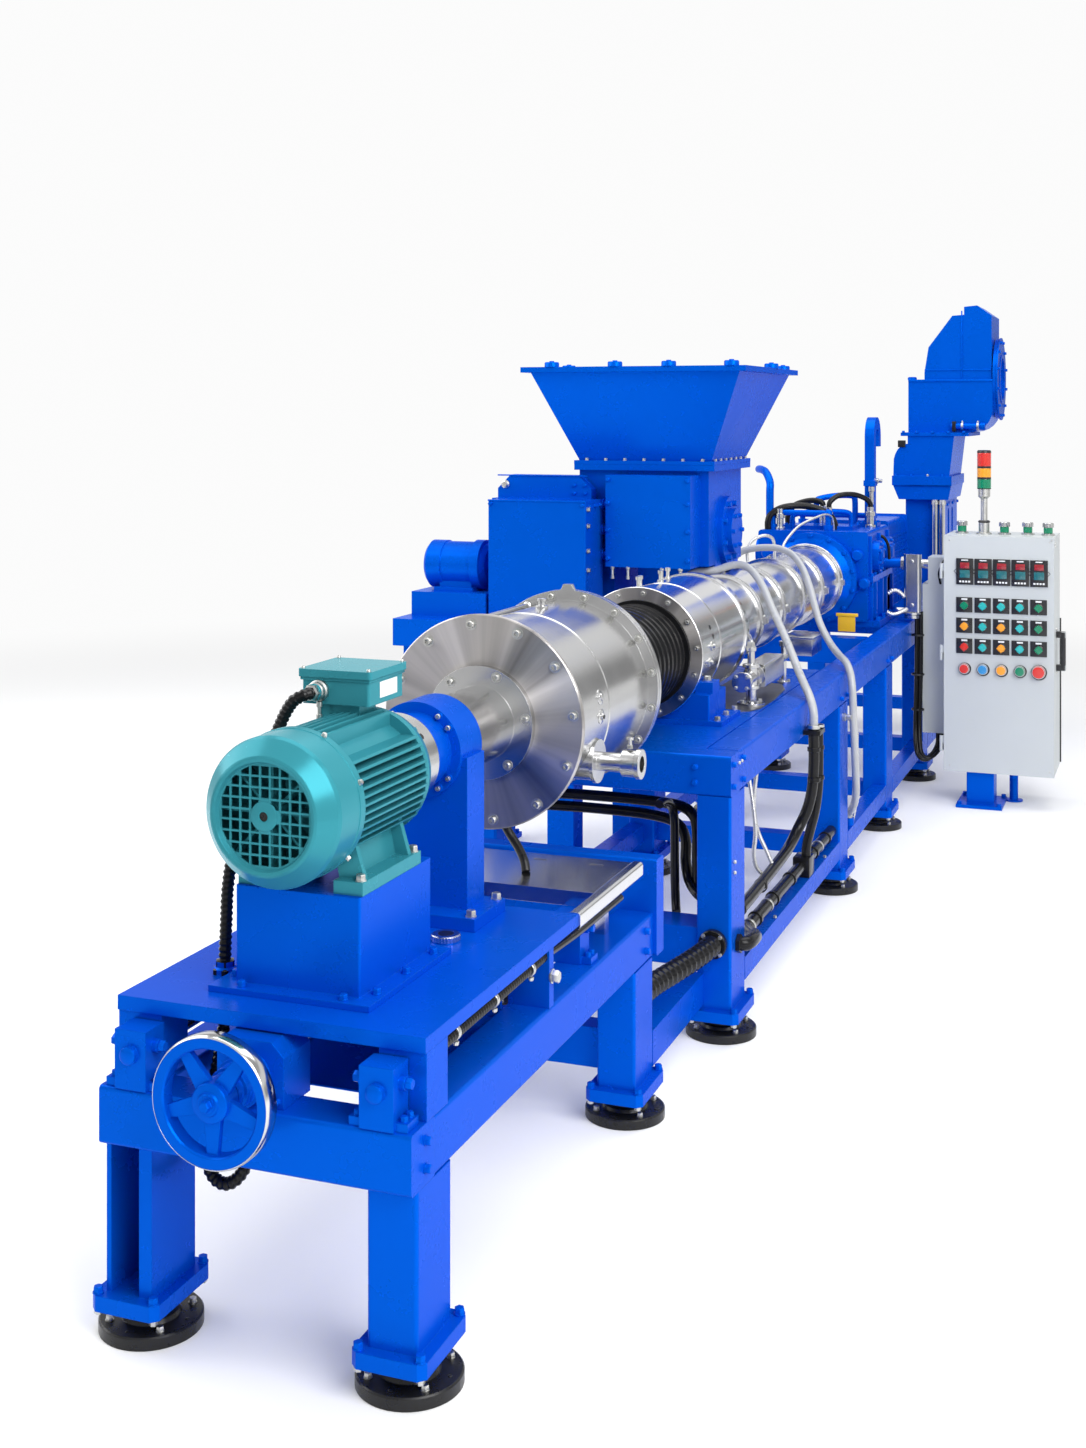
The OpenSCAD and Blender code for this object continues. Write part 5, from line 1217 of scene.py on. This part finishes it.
@dataclass
class DriveTrim:
    """Bolts, pipes and fittings of the gearbox and the vent.

    Attributes:
        top: Height of the gearbox's top.
    """

    top: float = 1226.0

    def build(self) -> None:
        """Builds the drive's trim."""
        top = self.top
        blue = Batch("drive_painted_bolts", BLUE_ENAMEL)
        blue.bolt_circle((0, 4896, AXIS_Z), 196, 14, Axis.FRONT, 17, 12)
        blue.ring((0, 4890, AXIS_Z), Axis.REAR, 150, 172, 6, 2, 72)
        ys = tuple(4990 + 78 * k for k in range(7))
        blue.hex_bolts(grid((-262, 262), ys, (1027,)), Axis.UP, 16)
        blue.hex_bolts(grid((-262, 262), ys, (999,)), Axis.DOWN, 16)
        for y in (5100, 5372):
            blue.bolt_circle((284, y, 1109), 54, 6, Axis.RIGHT, 14, 30)
            blue.turned((284, y, 1109), Axis.RIGHT, [(34, 0), (34, 8), (28, 12)], 40)
        blue.hex_bolts(grid((-286, 286), (5000, 5160, 5300, 5450), (828,)), Axis.UP, 22)
        blue.hex_bolts(grid((-150, 150), (5085, 5245), (top + 16,)), Axis.UP, 13)
        blue.hex_bolts(grid((158, 218), (5334, 5406), (top + 18,)), Axis.UP, 12)
        # Bosses on the gearbox's front, and ribs on its right side
        for angle, r in ((28, 232), (-4, 236), (152, 232), (184, 236)):
            blue.lathe(on_barrel(angle, r, 4952), Axis.FRONT, [(0, 0), (26, 0), (26, 26), (20, 34), (0, 36)],
                       24)
        for y in (4990, 5225, 5455):
            blue.slab((249, y - 7, 826), (268, y + 7, 1000), 2)
            blue.slab((249, y - 7, 1026), (262, y + 7, 1206), 2)
        # Rigid pipes over the gearbox
        blue.tube([(-210, 5010, top), (-210, 5010, 1390), (-212, 5020, 1440), (-240, 5060, 1484),
                   (-276, 5120, 1496), (-300, 5170, 1496)], 18)
        blue.tube([(-120, 5080, top), (-120, 5080, 1270), (-110, 5090, 1290), (-40, 5150, 1302),
                   (60, 5210, 1302), (110, 5240, 1294), (120, 5246, 1270), (120, 5246, top)], 12)
        blue.tube([(-60, 5330, top), (-60, 5330, 1330), (-50, 5336, 1352), (20, 5380, 1366), (90, 5420, 1366),
                   (104, 5430, 1346), (104, 5430, top)], 14)
        blue.build()
        steel = Batch("drive_steel_fittings", TURNED_STEEL)
        stub = [(0, 0), (24, 0), (24, 12), (16, 14), (16, 52), (21, 54), (21, 74), (15, 76), (15, 96),
                (0, 98)]
        for x, y in ((-160, 5000), (200, 5300), (30, 5180), (-20, 5290)):
            steel.lathe((x, y, top - 1), Axis.UP, stub, 20)
        steel.lathe((200, 5330, 1330), Axis.UP, [(0, 0), (10, 0), (10, 60), (14, 62), (14, 84), (0, 86)], 12)
        steel.lathe((209, 5370, 1440), Axis.RIGHT, [(0, 0), (13, 0), (13, 16), (9, 18), (9, 34), (0, 35)], 12)
        steel.build()
        hoses = Batch("drive_hoses", BLACK_SLEEVE)
        hoses.tube([(-214, 4990, top), (-214, 4990, 1262), (-200, 4996, 1296), (-150, 5016, 1326),
                    (-70, 5044, 1334), (10, 5064, 1318), (60, 5076, 1284), (76, 5080, 1250), (78, 5080, top)],
                   15)
        hoses.tube([(30, 5180, 1322), (34, 5182, 1346), (70, 5210, 1376), (130, 5250, 1380),
                    (180, 5286, 1360), (200, 5298, 1336), (200, 5300, 1320)], 12)
        hoses.tube([(-180, 5260, top), (-180, 5260, 1280), (-150, 5270, 1324), (-80, 5282, 1346),
                    (-30, 5290, 1340), (-20, 5290, 1322)], 14)
        hoses.tube([(250, 5230, 1190), (272, 5232, 1186), (292, 5240, 1150), (296, 5250, 1090),
                    (292, 5256, 1066)], 7)
        hoses.build()
        leads = Batch("drive_armoured_leads", ARMOURED_LEAD)
        leads.tube([(300, 5190, 930), (322, 5194, 944), (346, 5200, 940), (372, 5208, 916)], 11, ribbed=True,
                   sides=12)
        leads.tube([(300, 5150, 850), (326, 5160, 838), (356, 5184, 846), (384, 5206, 862)], 11, ribbed=True,
                   sides=12)
        leads.build()


@dataclass
class TowerTrim:
    """Seams, bolts and damper rod of the blower tower.

    Attributes:
        rod: Axis of the damper rod, along the machine and in height.
        inlet: Axis of the fan's inlet, along the machine and in height.
    """

    rod: tuple[float, float] = (6484.0, 1690.0)
    inlet: tuple[float, float] = (6705.0, 1941.0)

    def build(self) -> None:
        """Builds the tower's trim."""
        blue = Batch("tower_painted_trim", BLUE_ENAMEL)
        # Seams of the hood's front and the stiffeners of the neck
        blue.slab((466, 6509, 1938), (473, 6515, 2300), 1.5)
        blue.slab((276, 6509, 1984), (622, 6515, 1992), 1.5)
        blue.slab((192, 6494, 1926), (629, 6501, 1938), 1.5)
        blue.slab((196, 6340, 1378), (436, 6345, 1384), 1.5)
        blue.hex_bolts([(x, 6345, 1657) for x in (190, 260, 340, 420, 500)], Axis.UP, 13)
        blue.hex_bolts([(x, 6352, 1430) for x in (150, 230, 390)], Axis.UP, 13)
        blue.hex_bolts(grid((404,), (6420, 6620, 6820), (840, 1280)), Axis.RIGHT, 13)
        blue.turned((210, 6520, 1936), Axis.UP, [(24, 0), (24, 12), (18, 16)], 24)
        # Damper rod below the box
        blue.lathe((418, *self.rod), Axis.RIGHT, [(0, 0), (17, 0), (17, 150), (21, 152), (21, 176), (0, 177)],
                   24)
        blue.bolt_circle((656, *self.inlet), 200, 12, Axis.RIGHT, 13, 15)
        blue.ring((655, *self.inlet), Axis.RIGHT, 112, 130, 6, 2, 64)
        blue.build()
        zinc = Batch("tower_zinc_screws", ZINC)
        zinc.hex_bolts([(315, 6350, 1430)], Axis.UP, 13)
        for x in (470, 550):
            zinc.ring((x, *self.rod), Axis.RIGHT, 16.5, 22, 12, 1, 32)
            zinc.hex_bolts([(x + 6, 6484, 1711)], Axis.UP, 10)
        for x in (352, 388):
            zinc.ring((x, 6362, 1282), Axis.UP, 14.8, 19, 20, 1.5, 32)
            zinc.ring((x, 6362, 800.5), Axis.UP, 14.8, 21, 10, 1.5, 32)
        zinc.bolt_circle((637, *self.inlet), 30, 4, Axis.RIGHT, 13)
        zinc.build()
        dark = Batch("tower_dark_trim", BLACK_IRON)
        dark.slab((424, 6466, 1662), (444, 6502, 1716), 2)
        dark.slab((160, 6350, 1580), (198, 6376, 1616), 2)
        dark.build()


# The control cabinet


@dataclass
class CabinetTrim:
    """Instruments, selectors, push-buttons, lights and glands of the control cabinet.

    Attributes:
        plate_x: Left side of the first column of instruments.
        pitch: Distance between the columns.
        door_y: Front of the door.
        top: Height of the cabinet's top.
    """

    plate_x: float = 620.0
    pitch: float = 80.0
    door_y: float = 5100.0
    top: float = 1210.0

    def build(self) -> None:
        """Builds the cabinet's trim."""
        self._instruments()
        self._selectors()
        self._buttons()
        self._handle()
        self._light()
        self._leads()

    def _instruments(self) -> None:
        """Builds the bezels with their lit windows and keys."""
        bezels = Batch("instrument_bezels", BLACK_PLASTIC, DOOR)
        reds = Batch("instrument_red_windows", RED_WINDOW, DOOR)
        teals = Batch("instrument_teal_windows", TEAL_WINDOW, DOOR)
        keys = Batch("instrument_keys", PALE_PLATE, DOOR)
        y = self.door_y - 6
        z = self.top - 216
        for k in range(5):
            x = self.plate_x + self.pitch * k
            bezels.slab((x - 0.6, y - 2.4, z - 0.6), (x + 74.6, y + 0.4, z + 116.6), 1.6)
            bezels.ring((x + 37, y - 2.2, z + 58), Axis.FRONT, 46, 49, 0.8, 0.3, 4)
            reds.slab((x + 17, y - 3.4, z + 72), (x + 57, y - 2, z + 98), 0.6)
            teals.slab((x + 15, y - 3.2, z + 30), (x + 59, y - 2, z + 64), 0.6)
            keys.slab((x + 22, y - 3.4, z + 106), (x + 52, y - 2, z + 111), 0.5)
            for i in range(4):
                keys.slab((x + 13 + 13 * i, y - 3.6, z + 9), (x + 22 + 13 * i, y - 2, z + 17), 0.8)
        for batch in (bezels, reds, teals, keys):
            batch.build()

    def _selectors(self) -> None:
        """Builds the selector plates with their coloured knobs."""
        plates = Batch("selector_plates", BLACK_PLASTIC, DOOR)
        labels = Batch("selector_blank_labels", PALE_PLATE, DOOR)
        lenses = {"red": RED_LENS, "amber": AMBER_LENS, "teal": TEAL_LENS, "green": GREEN_LENS}
        knobs = {colour: Batch("selector_knobs_" + colour, lens, DOOR) for colour, lens in lenses.items()}
        rows = (("green", "teal", "teal", "teal", "green"), ("amber", "teal", "amber", "teal", "green"),
                ("red", "teal", "amber", "teal", "green"))
        y = self.door_y - 4
        for r, row in enumerate(rows):
            z = self.top - 340 - 92 * r
            for k, colour in enumerate(row):
                x = self.plate_x + self.pitch * k
                plates.slab((x - 0.6, y - 1.4, z - 0.6), (x + 70.6, y + 0.4, z + 66.6), 1.4)
                labels.slab((x + 22, y - 2.4, z + 54), (x + 48, y - 1, z + 62), 0.5)
                place = (x + 35, y - 1, z + 30)
                plates.turned(place, Axis.FRONT, [(20, 0), (20, 2.6), (17, 4), (16.8, 9)], 32)
                knobs[colour].turned(place, Axis.FRONT, [(16.6, 8), (16.6, 14), (15.4, 15.8)], 32)
                knobs[colour].turned(place, Axis.FRONT, [(20, 15), (20, 18), (16, 21)], 4)
        for batch in (plates, labels, *knobs.values()):
            batch.build()

    def _buttons(self) -> None:
        """Builds the push-buttons of the bottom row."""
        collars = Batch("button_collars", BLACK_PLASTIC, DOOR)
        rings = Batch("button_rings", ZINC, DOOR)
        lenses = {"red": RED_LENS, "blue": BLUE_LENS, "amber": AMBER_LENS, "green": GREEN_LENS,
                  "stop": RED_LENS}
        caps = [Batch("button_" + name, lens, DOOR) for name, lens in lenses.items()]
        z = self.top - 592
        for k, cap in enumerate(caps):
            x = self.plate_x + self.pitch * k + 35
            r = 27 if k == 4 else 21
            collars.turned((x + 1.5, self.door_y, z - 2), Axis.FRONT, [(r + 7, 0), (r + 7, 4), (r + 4, 8)],
                           40)
            rings.ring((x, self.door_y - 7, z), Axis.FRONT, r + 0.4, r + 3.4, 5, 1.2, 40)
            cap.lathe((x, self.door_y - 4, z), Axis.FRONT,
                      [(0, 0), (r + 0.7, 0), (r + 0.7, 16), (r - 2, 20.6), (r - 9, 21.4), (0, 20.6)], 40)
            cap.build()
        collars.build()
        rings.build()

    def _handle(self) -> None:
        """Builds the black side handle, the cabinet's screws and the pedestal's bolts."""
        black = Batch("cabinet_black_handle", BLACK_PLASTIC)
        black.slab((1059.2, 5219.2, 609.2), (1080.8, 5248.8, 784.8), 5.5)
        for z in (609.2, 757.2):
            black.slab((1039, 5219.2, z), (1064, 5248.8, z + 27.6), 3)
        black.slab((1030, 5449, 160), (1046, 5462, 820), 2)
        black.build()
        zinc = Batch("cabinet_zinc_screws", ZINC)
        zinc.domes(grid((1040,), (5166, 5190), (1166, 1182)), Axis.RIGHT, 9, 3)
        zinc.domes(grid((1040,), (5234,), (600, 794)), Axis.RIGHT, 12, 5)
        zinc.lathe((1030, 5108, 1198), Axis.FRONT, [(0, 7), (4, 7), (4, 9.5), (0, 10)], 12)
        zinc.build()
        hinges = Batch("door_front_screws", ZINC, DOOR)
        hinges.domes(grid((590, 1022), (5100,), (180, 1190)), Axis.FRONT, 7, 2)
        hinges.build()
        bolts = Batch("pedestal_bolts", BLUE_ENAMEL)
        bolts.hex_bolts(grid((634, 806), (5086, 5294), (14,)), Axis.UP, 17)
        bolts.build()

    def _light(self) -> None:
        """Builds the lenses of the signal light and the glands beside it."""
        x, y, z = 724, 5250, self.top
        for name, finish, low, high in (("signal_green_lens", GREEN_LENS, 209, 249),
                                        ("signal_amber_lens", AMBER_LENS, 259, 299),
                                        ("signal_red_lens", RED_LENS, 309, 369)):
            lens = Batch(name, finish)
            lens.lathe((x, y, z), Axis.UP, [(29, low), (30.6, low), (31.2, low + 3)] +
                       [(31.2 - 0.5 * (i % 2), low + 3 + (high - low - 6) * i / 12) for i in range(1, 12)] +
                       [(31.2, high - 3), (30.6, high), (29, high)], 48, closed=True)
            lens.build()
        black = Batch("signal_black_rings", BLACK_PLASTIC)
        for low, high in ((205, 209), (249, 259), (299, 309)):
            black.ring((x, y, z + low), Axis.UP, 26, 31, high - low, 0.8)
        black.lathe((x, y, z), Axis.UP, [(29, 369), (31.4, 369), (31.4, 375), (28, 381), (0, 382)], 48)
        black.ring((x, y, z + 50), Axis.UP, 15, 27, 13, 5)
        black.build()
        green = Batch("gland_green_rings", GREEN_LENS)
        chrome = Batch("gland_chrome_nuts", GROUND_STEEL)
        for dx, dy in ((-100, 20), (90, 0), (190, 20), (280, 0)):
            green.ring((x + dx, y + dy, z + 10.5), Axis.UP, 17, 20, 25, 1.5, 24)
            chrome.turned((x + dx, y + dy, z + 37), Axis.UP, [(24.5, 0), (24.5, 17), (21, 20)], 6)
            chrome.lathe((x + dx, y + dy, z), Axis.UP, [(17, 0), (29, 0), (29, 7), (25, 9.5), (17, 9.5)], 6,
                         closed=True)
        green.build()
        chrome.build()

    @staticmethod
    def _leads() -> None:
        """Builds the painted arm, the leads strapped to the trunk's lead and the lead on the duct."""
        arm = Batch("arm_painted_sleeve", BLUE_ENAMEL)
        arm.ring((262, 5260, 1066), Axis.RIGHT, 21, 23, 92, 0.8)
        arm.build()
        chrome = Batch("arm_chrome_nuts", TURNED_STEEL)
        chrome.lathe((350, 5260, 1066), Axis.RIGHT, [(20, 0), (30, 0), (30, 14), (26, 17), (20, 17)], 6,
                     closed=True)
        chrome.hex_bolts([(408, 5199.8, z) for z in (1080, 880)], Axis.FRONT, 15)
        chrome.turned((408, 5220, 846), Axis.DOWN, [(44, 0), (44, 8), (38, 12), (38, 26)], 32)
        chrome.build()
        leads = Batch("trunk_strapped_leads", BLACK_SLEEVE)
        spine = FreeCords().trunk_cable
        for dx, dy in ((-3, -19), (15, -12), (17, 8)):
            leads.tube([(x + dx, y + dy * (0.4 if z < 240 else 1), max(z + 0.3 * dx, 172)) for x, y,
                        z in spine], 7.5, sides=10)
        leads.tube([(556, 5226, 1098), (540, 5222, 1070), (526, 5222, 1030), (530, 5226, 990),
                    (532, 5232, 980)], 5, sides=10)
        leads.build()
        straps = Batch("trunk_lead_straps", BLACK_PLASTIC)
        for z in (740, 560, 400):
            straps.ring((433, 5210, z), Axis.UP, 27, 29.5, 8, 0.8, 24)
        straps.build()


# Camera, lamps and studio


@dataclass
class Studio:
    """Pale floor, soft light and the camera of the photograph.

    Attributes:
        eye: Camera's place on the drawing in millimetres.
        yaw: Camera's turn to the left in degrees.
        lens: Focal length in millimetres for a 36 mm frame height.
        rise: Vertical shift of the frame.
        pale: Colour of the floor and the background.
        walls: Level of the backdrop by its turn from the machine's axis in degrees.
        ceiling: Level of the backdrop by its height, from straight down to straight up.
        horizon: Heights between which the backdrop changes from walls to ceiling.
        ground: Level of the floor by its place along the machine in metres.
        pool: Distances in metres between which the floor turns into the background.
        shade: Strength of the light from all round.
        lamps: Name, place in millimetres, size in metres and power of each lamp.
        aim: Point that the lamps face in millimetres.
    """

    eye: Point = (1605.0, -2725.0, 1760.0)
    yaw: float = 20.76
    lens: float = 42.54
    rise: float = -0.2148
    pale: Colour = (0.97, 0.97, 0.97)
    walls: Pairs = ((-180.0, 0.45), (-160.0, 0.42), (-152.0, 0.95), (-138.0, 0.95), (-128.0, 0.45),
                    (-100.0, 0.45), (-86.0, 1.0), (-44.0, 1.0), (2.0, 1.0), (7.0, 0.3), (27.0, 0.28),
                    (31.0, 1.0), (44.0, 1.0), (52.0, 0.45), (80.0, 0.45), (92.0, 1.0), (116.0, 1.0),
                    (128.0, 0.45), (152.0, 0.42), (162.0, 0.9), (168.0, 0.9), (180.0, 0.45))
    ceiling: Pairs = ((-1.0, 1.0), (0.42, 1.0), (0.5, 0.5), (0.8, 0.5), (0.88, 1.0), (1.0, 1.0))
    horizon: tuple[float, float] = (0.14, 0.28)
    ground: Pairs = ((-50.0, 0.6), (-8.5, 0.6), (-6.0, 1.0), (50.0, 1.0))
    pool: tuple[float, float] = (4.2, 9.0)
    shade: float = 0.55
    lamps: tuple[tuple[str, Point, float, float], ...] = (
        ("lamp_right", (5200.0, -1800.0, 5200.0), 5.0, 560.0),
        ("lamp_left", (-5200.0, 1200.0, 4200.0), 5.0, 240.0),
        ("lamp_top", (400.0, 3800.0, 6200.0), 6.0, 270.0))
    aim: Point = (0.0, 2200.0, 700.0)

    def build(self) -> None:
        """Builds the camera, the lamps, the world and the floor."""
        self._camera()
        self._lamps()
        self._world()
        self._floor()
        bpy.context.scene.view_settings.view_transform = "Standard"

    def _camera(self) -> None:
        """Sets up the camera at the photograph's viewing angle."""
        data = bpy.data.cameras.new("camera")
        data.sensor_width = 36.0
        data.lens = self.lens
        data.shift_y = self.rise
        data.clip_end = 60.0
        camera = bpy.data.objects.new("camera", data)
        camera.location = at(*self.eye)
        camera.rotation_euler = (math.radians(90.0), 0.0, math.radians(self.yaw))
        bpy.context.scene.collection.objects.link(camera)
        bpy.context.scene.camera = camera

    def _lamps(self) -> None:
        """Hangs three large soft lamps."""
        for name, place, size, power in self.lamps:
            data = bpy.data.lights.new(name, "AREA")
            data.shape = "SQUARE"
            data.size = size
            data.energy = power
            lamp = bpy.data.objects.new(name, data)
            lamp.location = at(*place)
            lamp.rotation_euler = (at(*self.aim) - lamp.location).to_track_quat("-Z", "Y").to_euler()
            bpy.context.scene.collection.objects.link(lamp)

    def _world(self) -> None:
        """Lights the object from all round and shows the pale backdrop to camera, mirror and glass rays."""
        world = bpy.data.worlds.new("studio")
        bpy.context.scene.world = world
        world.use_nodes = True
        graph = Graph(world.node_tree)
        shade = world.node_tree.nodes["Background"]
        graph.feed(shade, {"Color": (0.98, 0.99, 1.0, 1.0), "Strength": self.shade})
        shown = graph.add("ShaderNodeBackground", {"Color": self._backdrop(graph)})
        mix = graph.add("ShaderNodeMixShader", {
            "Fac": self._seen(graph), 1: shade.outputs["Background"], 2: shown.outputs["Background"]})
        graph.feed(world.node_tree.nodes["World Output"], {"Surface": mix.outputs["Shader"]})

    @staticmethod
    def _seen(graph: Graph) -> bpy.types.NodeSocket:
        """Value that is 1 for the rays that show the backdrop: camera, mirror and glass rays.

        Args:
            graph: Nodes of the world or of the floor.

        Returns:
            The value's socket.
        """
        path = graph.add("ShaderNodeLightPath", {})
        seen = path.outputs["Is Camera Ray"]
        for ray in ("Is Glossy Ray", "Is Transmission Ray"):
            either = graph.add("ShaderNodeMath", {0: seen, 1: path.outputs[ray]})
            either.operation = "MAXIMUM"
            seen = either.outputs["Value"]
        return seen

    def _ramp(self, graph: Graph, value: bpy.types.NodeSocket, stops: Pairs) -> bpy.types.NodeSocket:
        """Pale colour whose level follows a value.

        Args:
            graph: Nodes of the world or of the floor.
            value: Socket with the value.
            stops: Pairs of value and level, the first and last at the value's limits.

        Returns:
            The colour's socket.
        """
        low, high = stops[0][0], stops[-1][0]
        lift = graph.add("ShaderNodeMapRange", {"Value": value, "From Min": low, "From Max": high})
        ramp = graph.add("ShaderNodeValToRGB", {"Fac": lift.outputs["Result"]})
        for place, _ in stops[1:-1]:
            ramp.color_ramp.elements.new((place - low) / (high - low))
        for stop, (_, level) in zip(ramp.color_ramp.elements, stops):
            stop.color = (*(c * level for c in self.pale), 1.0)
        return ramp.outputs["Color"]

    def _backdrop(self, graph: Graph) -> bpy.types.NodeSocket:
        """Colour of the backdrop: pale in front of the camera and above, panels and gaps beside and behind.

        Args:
            graph: Nodes of the world.

        Returns:
            The colour's socket.
        """
        coords = graph.add("ShaderNodeTexCoord", {}).outputs["Generated"]
        split = graph.add("ShaderNodeSeparateXYZ", {"Vector": coords})
        turn = graph.add("ShaderNodeMath", {0: split.outputs["X"], 1: split.outputs["Y"]})
        turn.operation = "ARCTAN2"
        walls = tuple((math.radians(angle), level) for angle, level in self.walls)
        low = self._ramp(graph, turn.outputs["Value"], walls)
        high = self._ramp(graph, split.outputs["Z"], self.ceiling)
        rise = graph.add("ShaderNodeMapRange", {
            "Value": split.outputs["Z"], "From Min": self.horizon[0], "From Max": self.horizon[1]})
        rise.interpolation_type = "SMOOTHSTEP"
        mix = graph.add("ShaderNodeMix", {})
        mix.data_type = "RGBA"
        graph.feed(mix, {"Factor": rise.outputs["Result"], "A": low, "B": high})
        return mix.outputs["Result"]

    def _floor(self) -> None:
        """Lays the floor."""
        mesh = bmesh.new()
        for x, y in ((-30.0, -20.0), (30.0, -20.0), (30.0, 50.0), (-30.0, 50.0)):
            mesh.verts.new((x, y, -0.001))
        mesh.faces.new(mesh.verts)
        data = bpy.data.meshes.new("floor")
        mesh.to_mesh(data)
        mesh.free()
        mat = bpy.data.materials.new("floor")
        mat.use_nodes = True
        graph = Graph(mat.node_tree)
        coords = graph.add("ShaderNodeTexCoord", {}).outputs["Object"]
        split = graph.add("ShaderNodeSeparateXYZ", {"Vector": coords})
        tone = self._ramp(graph, split.outputs["Y"], self.ground)
        shader = mat.node_tree.nodes["Principled BSDF"]
        graph.feed(shader, {"Base Color": tone, "Roughness": 0.6, "Specular IOR Level": 0.2})
        # The floor turns into the pale background away from the machine
        reach = graph.add("ShaderNodeVectorMath", {0: coords})
        reach.operation = "LENGTH"
        fade = graph.add("ShaderNodeMapRange", {
            "Value": reach.outputs["Value"], "From Min": self.pool[0], "From Max": self.pool[1],
            "To Min": 0.12, "To Max": 1.0})
        fade.interpolation_type = "SMOOTHSTEP"
        share = graph.add("ShaderNodeMath", {0: fade.outputs["Result"], 1: self._seen(graph)})
        share.operation = "MULTIPLY"
        glow = graph.add("ShaderNodeEmission", {"Color": tone})
        mix = graph.add("ShaderNodeMixShader", {
            "Fac": share.outputs["Value"], 1: shader.outputs["BSDF"], 2: glow.outputs["Emission"]})
        graph.feed(mat.node_tree.nodes["Material Output"], {"Surface": mix.outputs["Shader"]})
        data.materials.append(mat)
        floor = bpy.data.objects.new("floor", data)
        bpy.context.scene.collection.objects.link(floor)


def main() -> None:
    """Loads the frame and builds everything on it."""
    logging.basicConfig(level=logging.INFO, format="%(name)s: %(message)s")
    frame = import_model()
    Studio().build()
    FreeCords().build()
    for trim in (StandTrim(), HandwheelTrim(), MotorTrim(), DrumTrim(), BarrelTrim(), FrameTrim(),
                 FeederTrim(), DriveTrim(), TowerTrim(), CabinetTrim()):
        trim.build()
    FrameDressing(frame["nodes"]).dress()


if __name__ == "__main__":
    main()
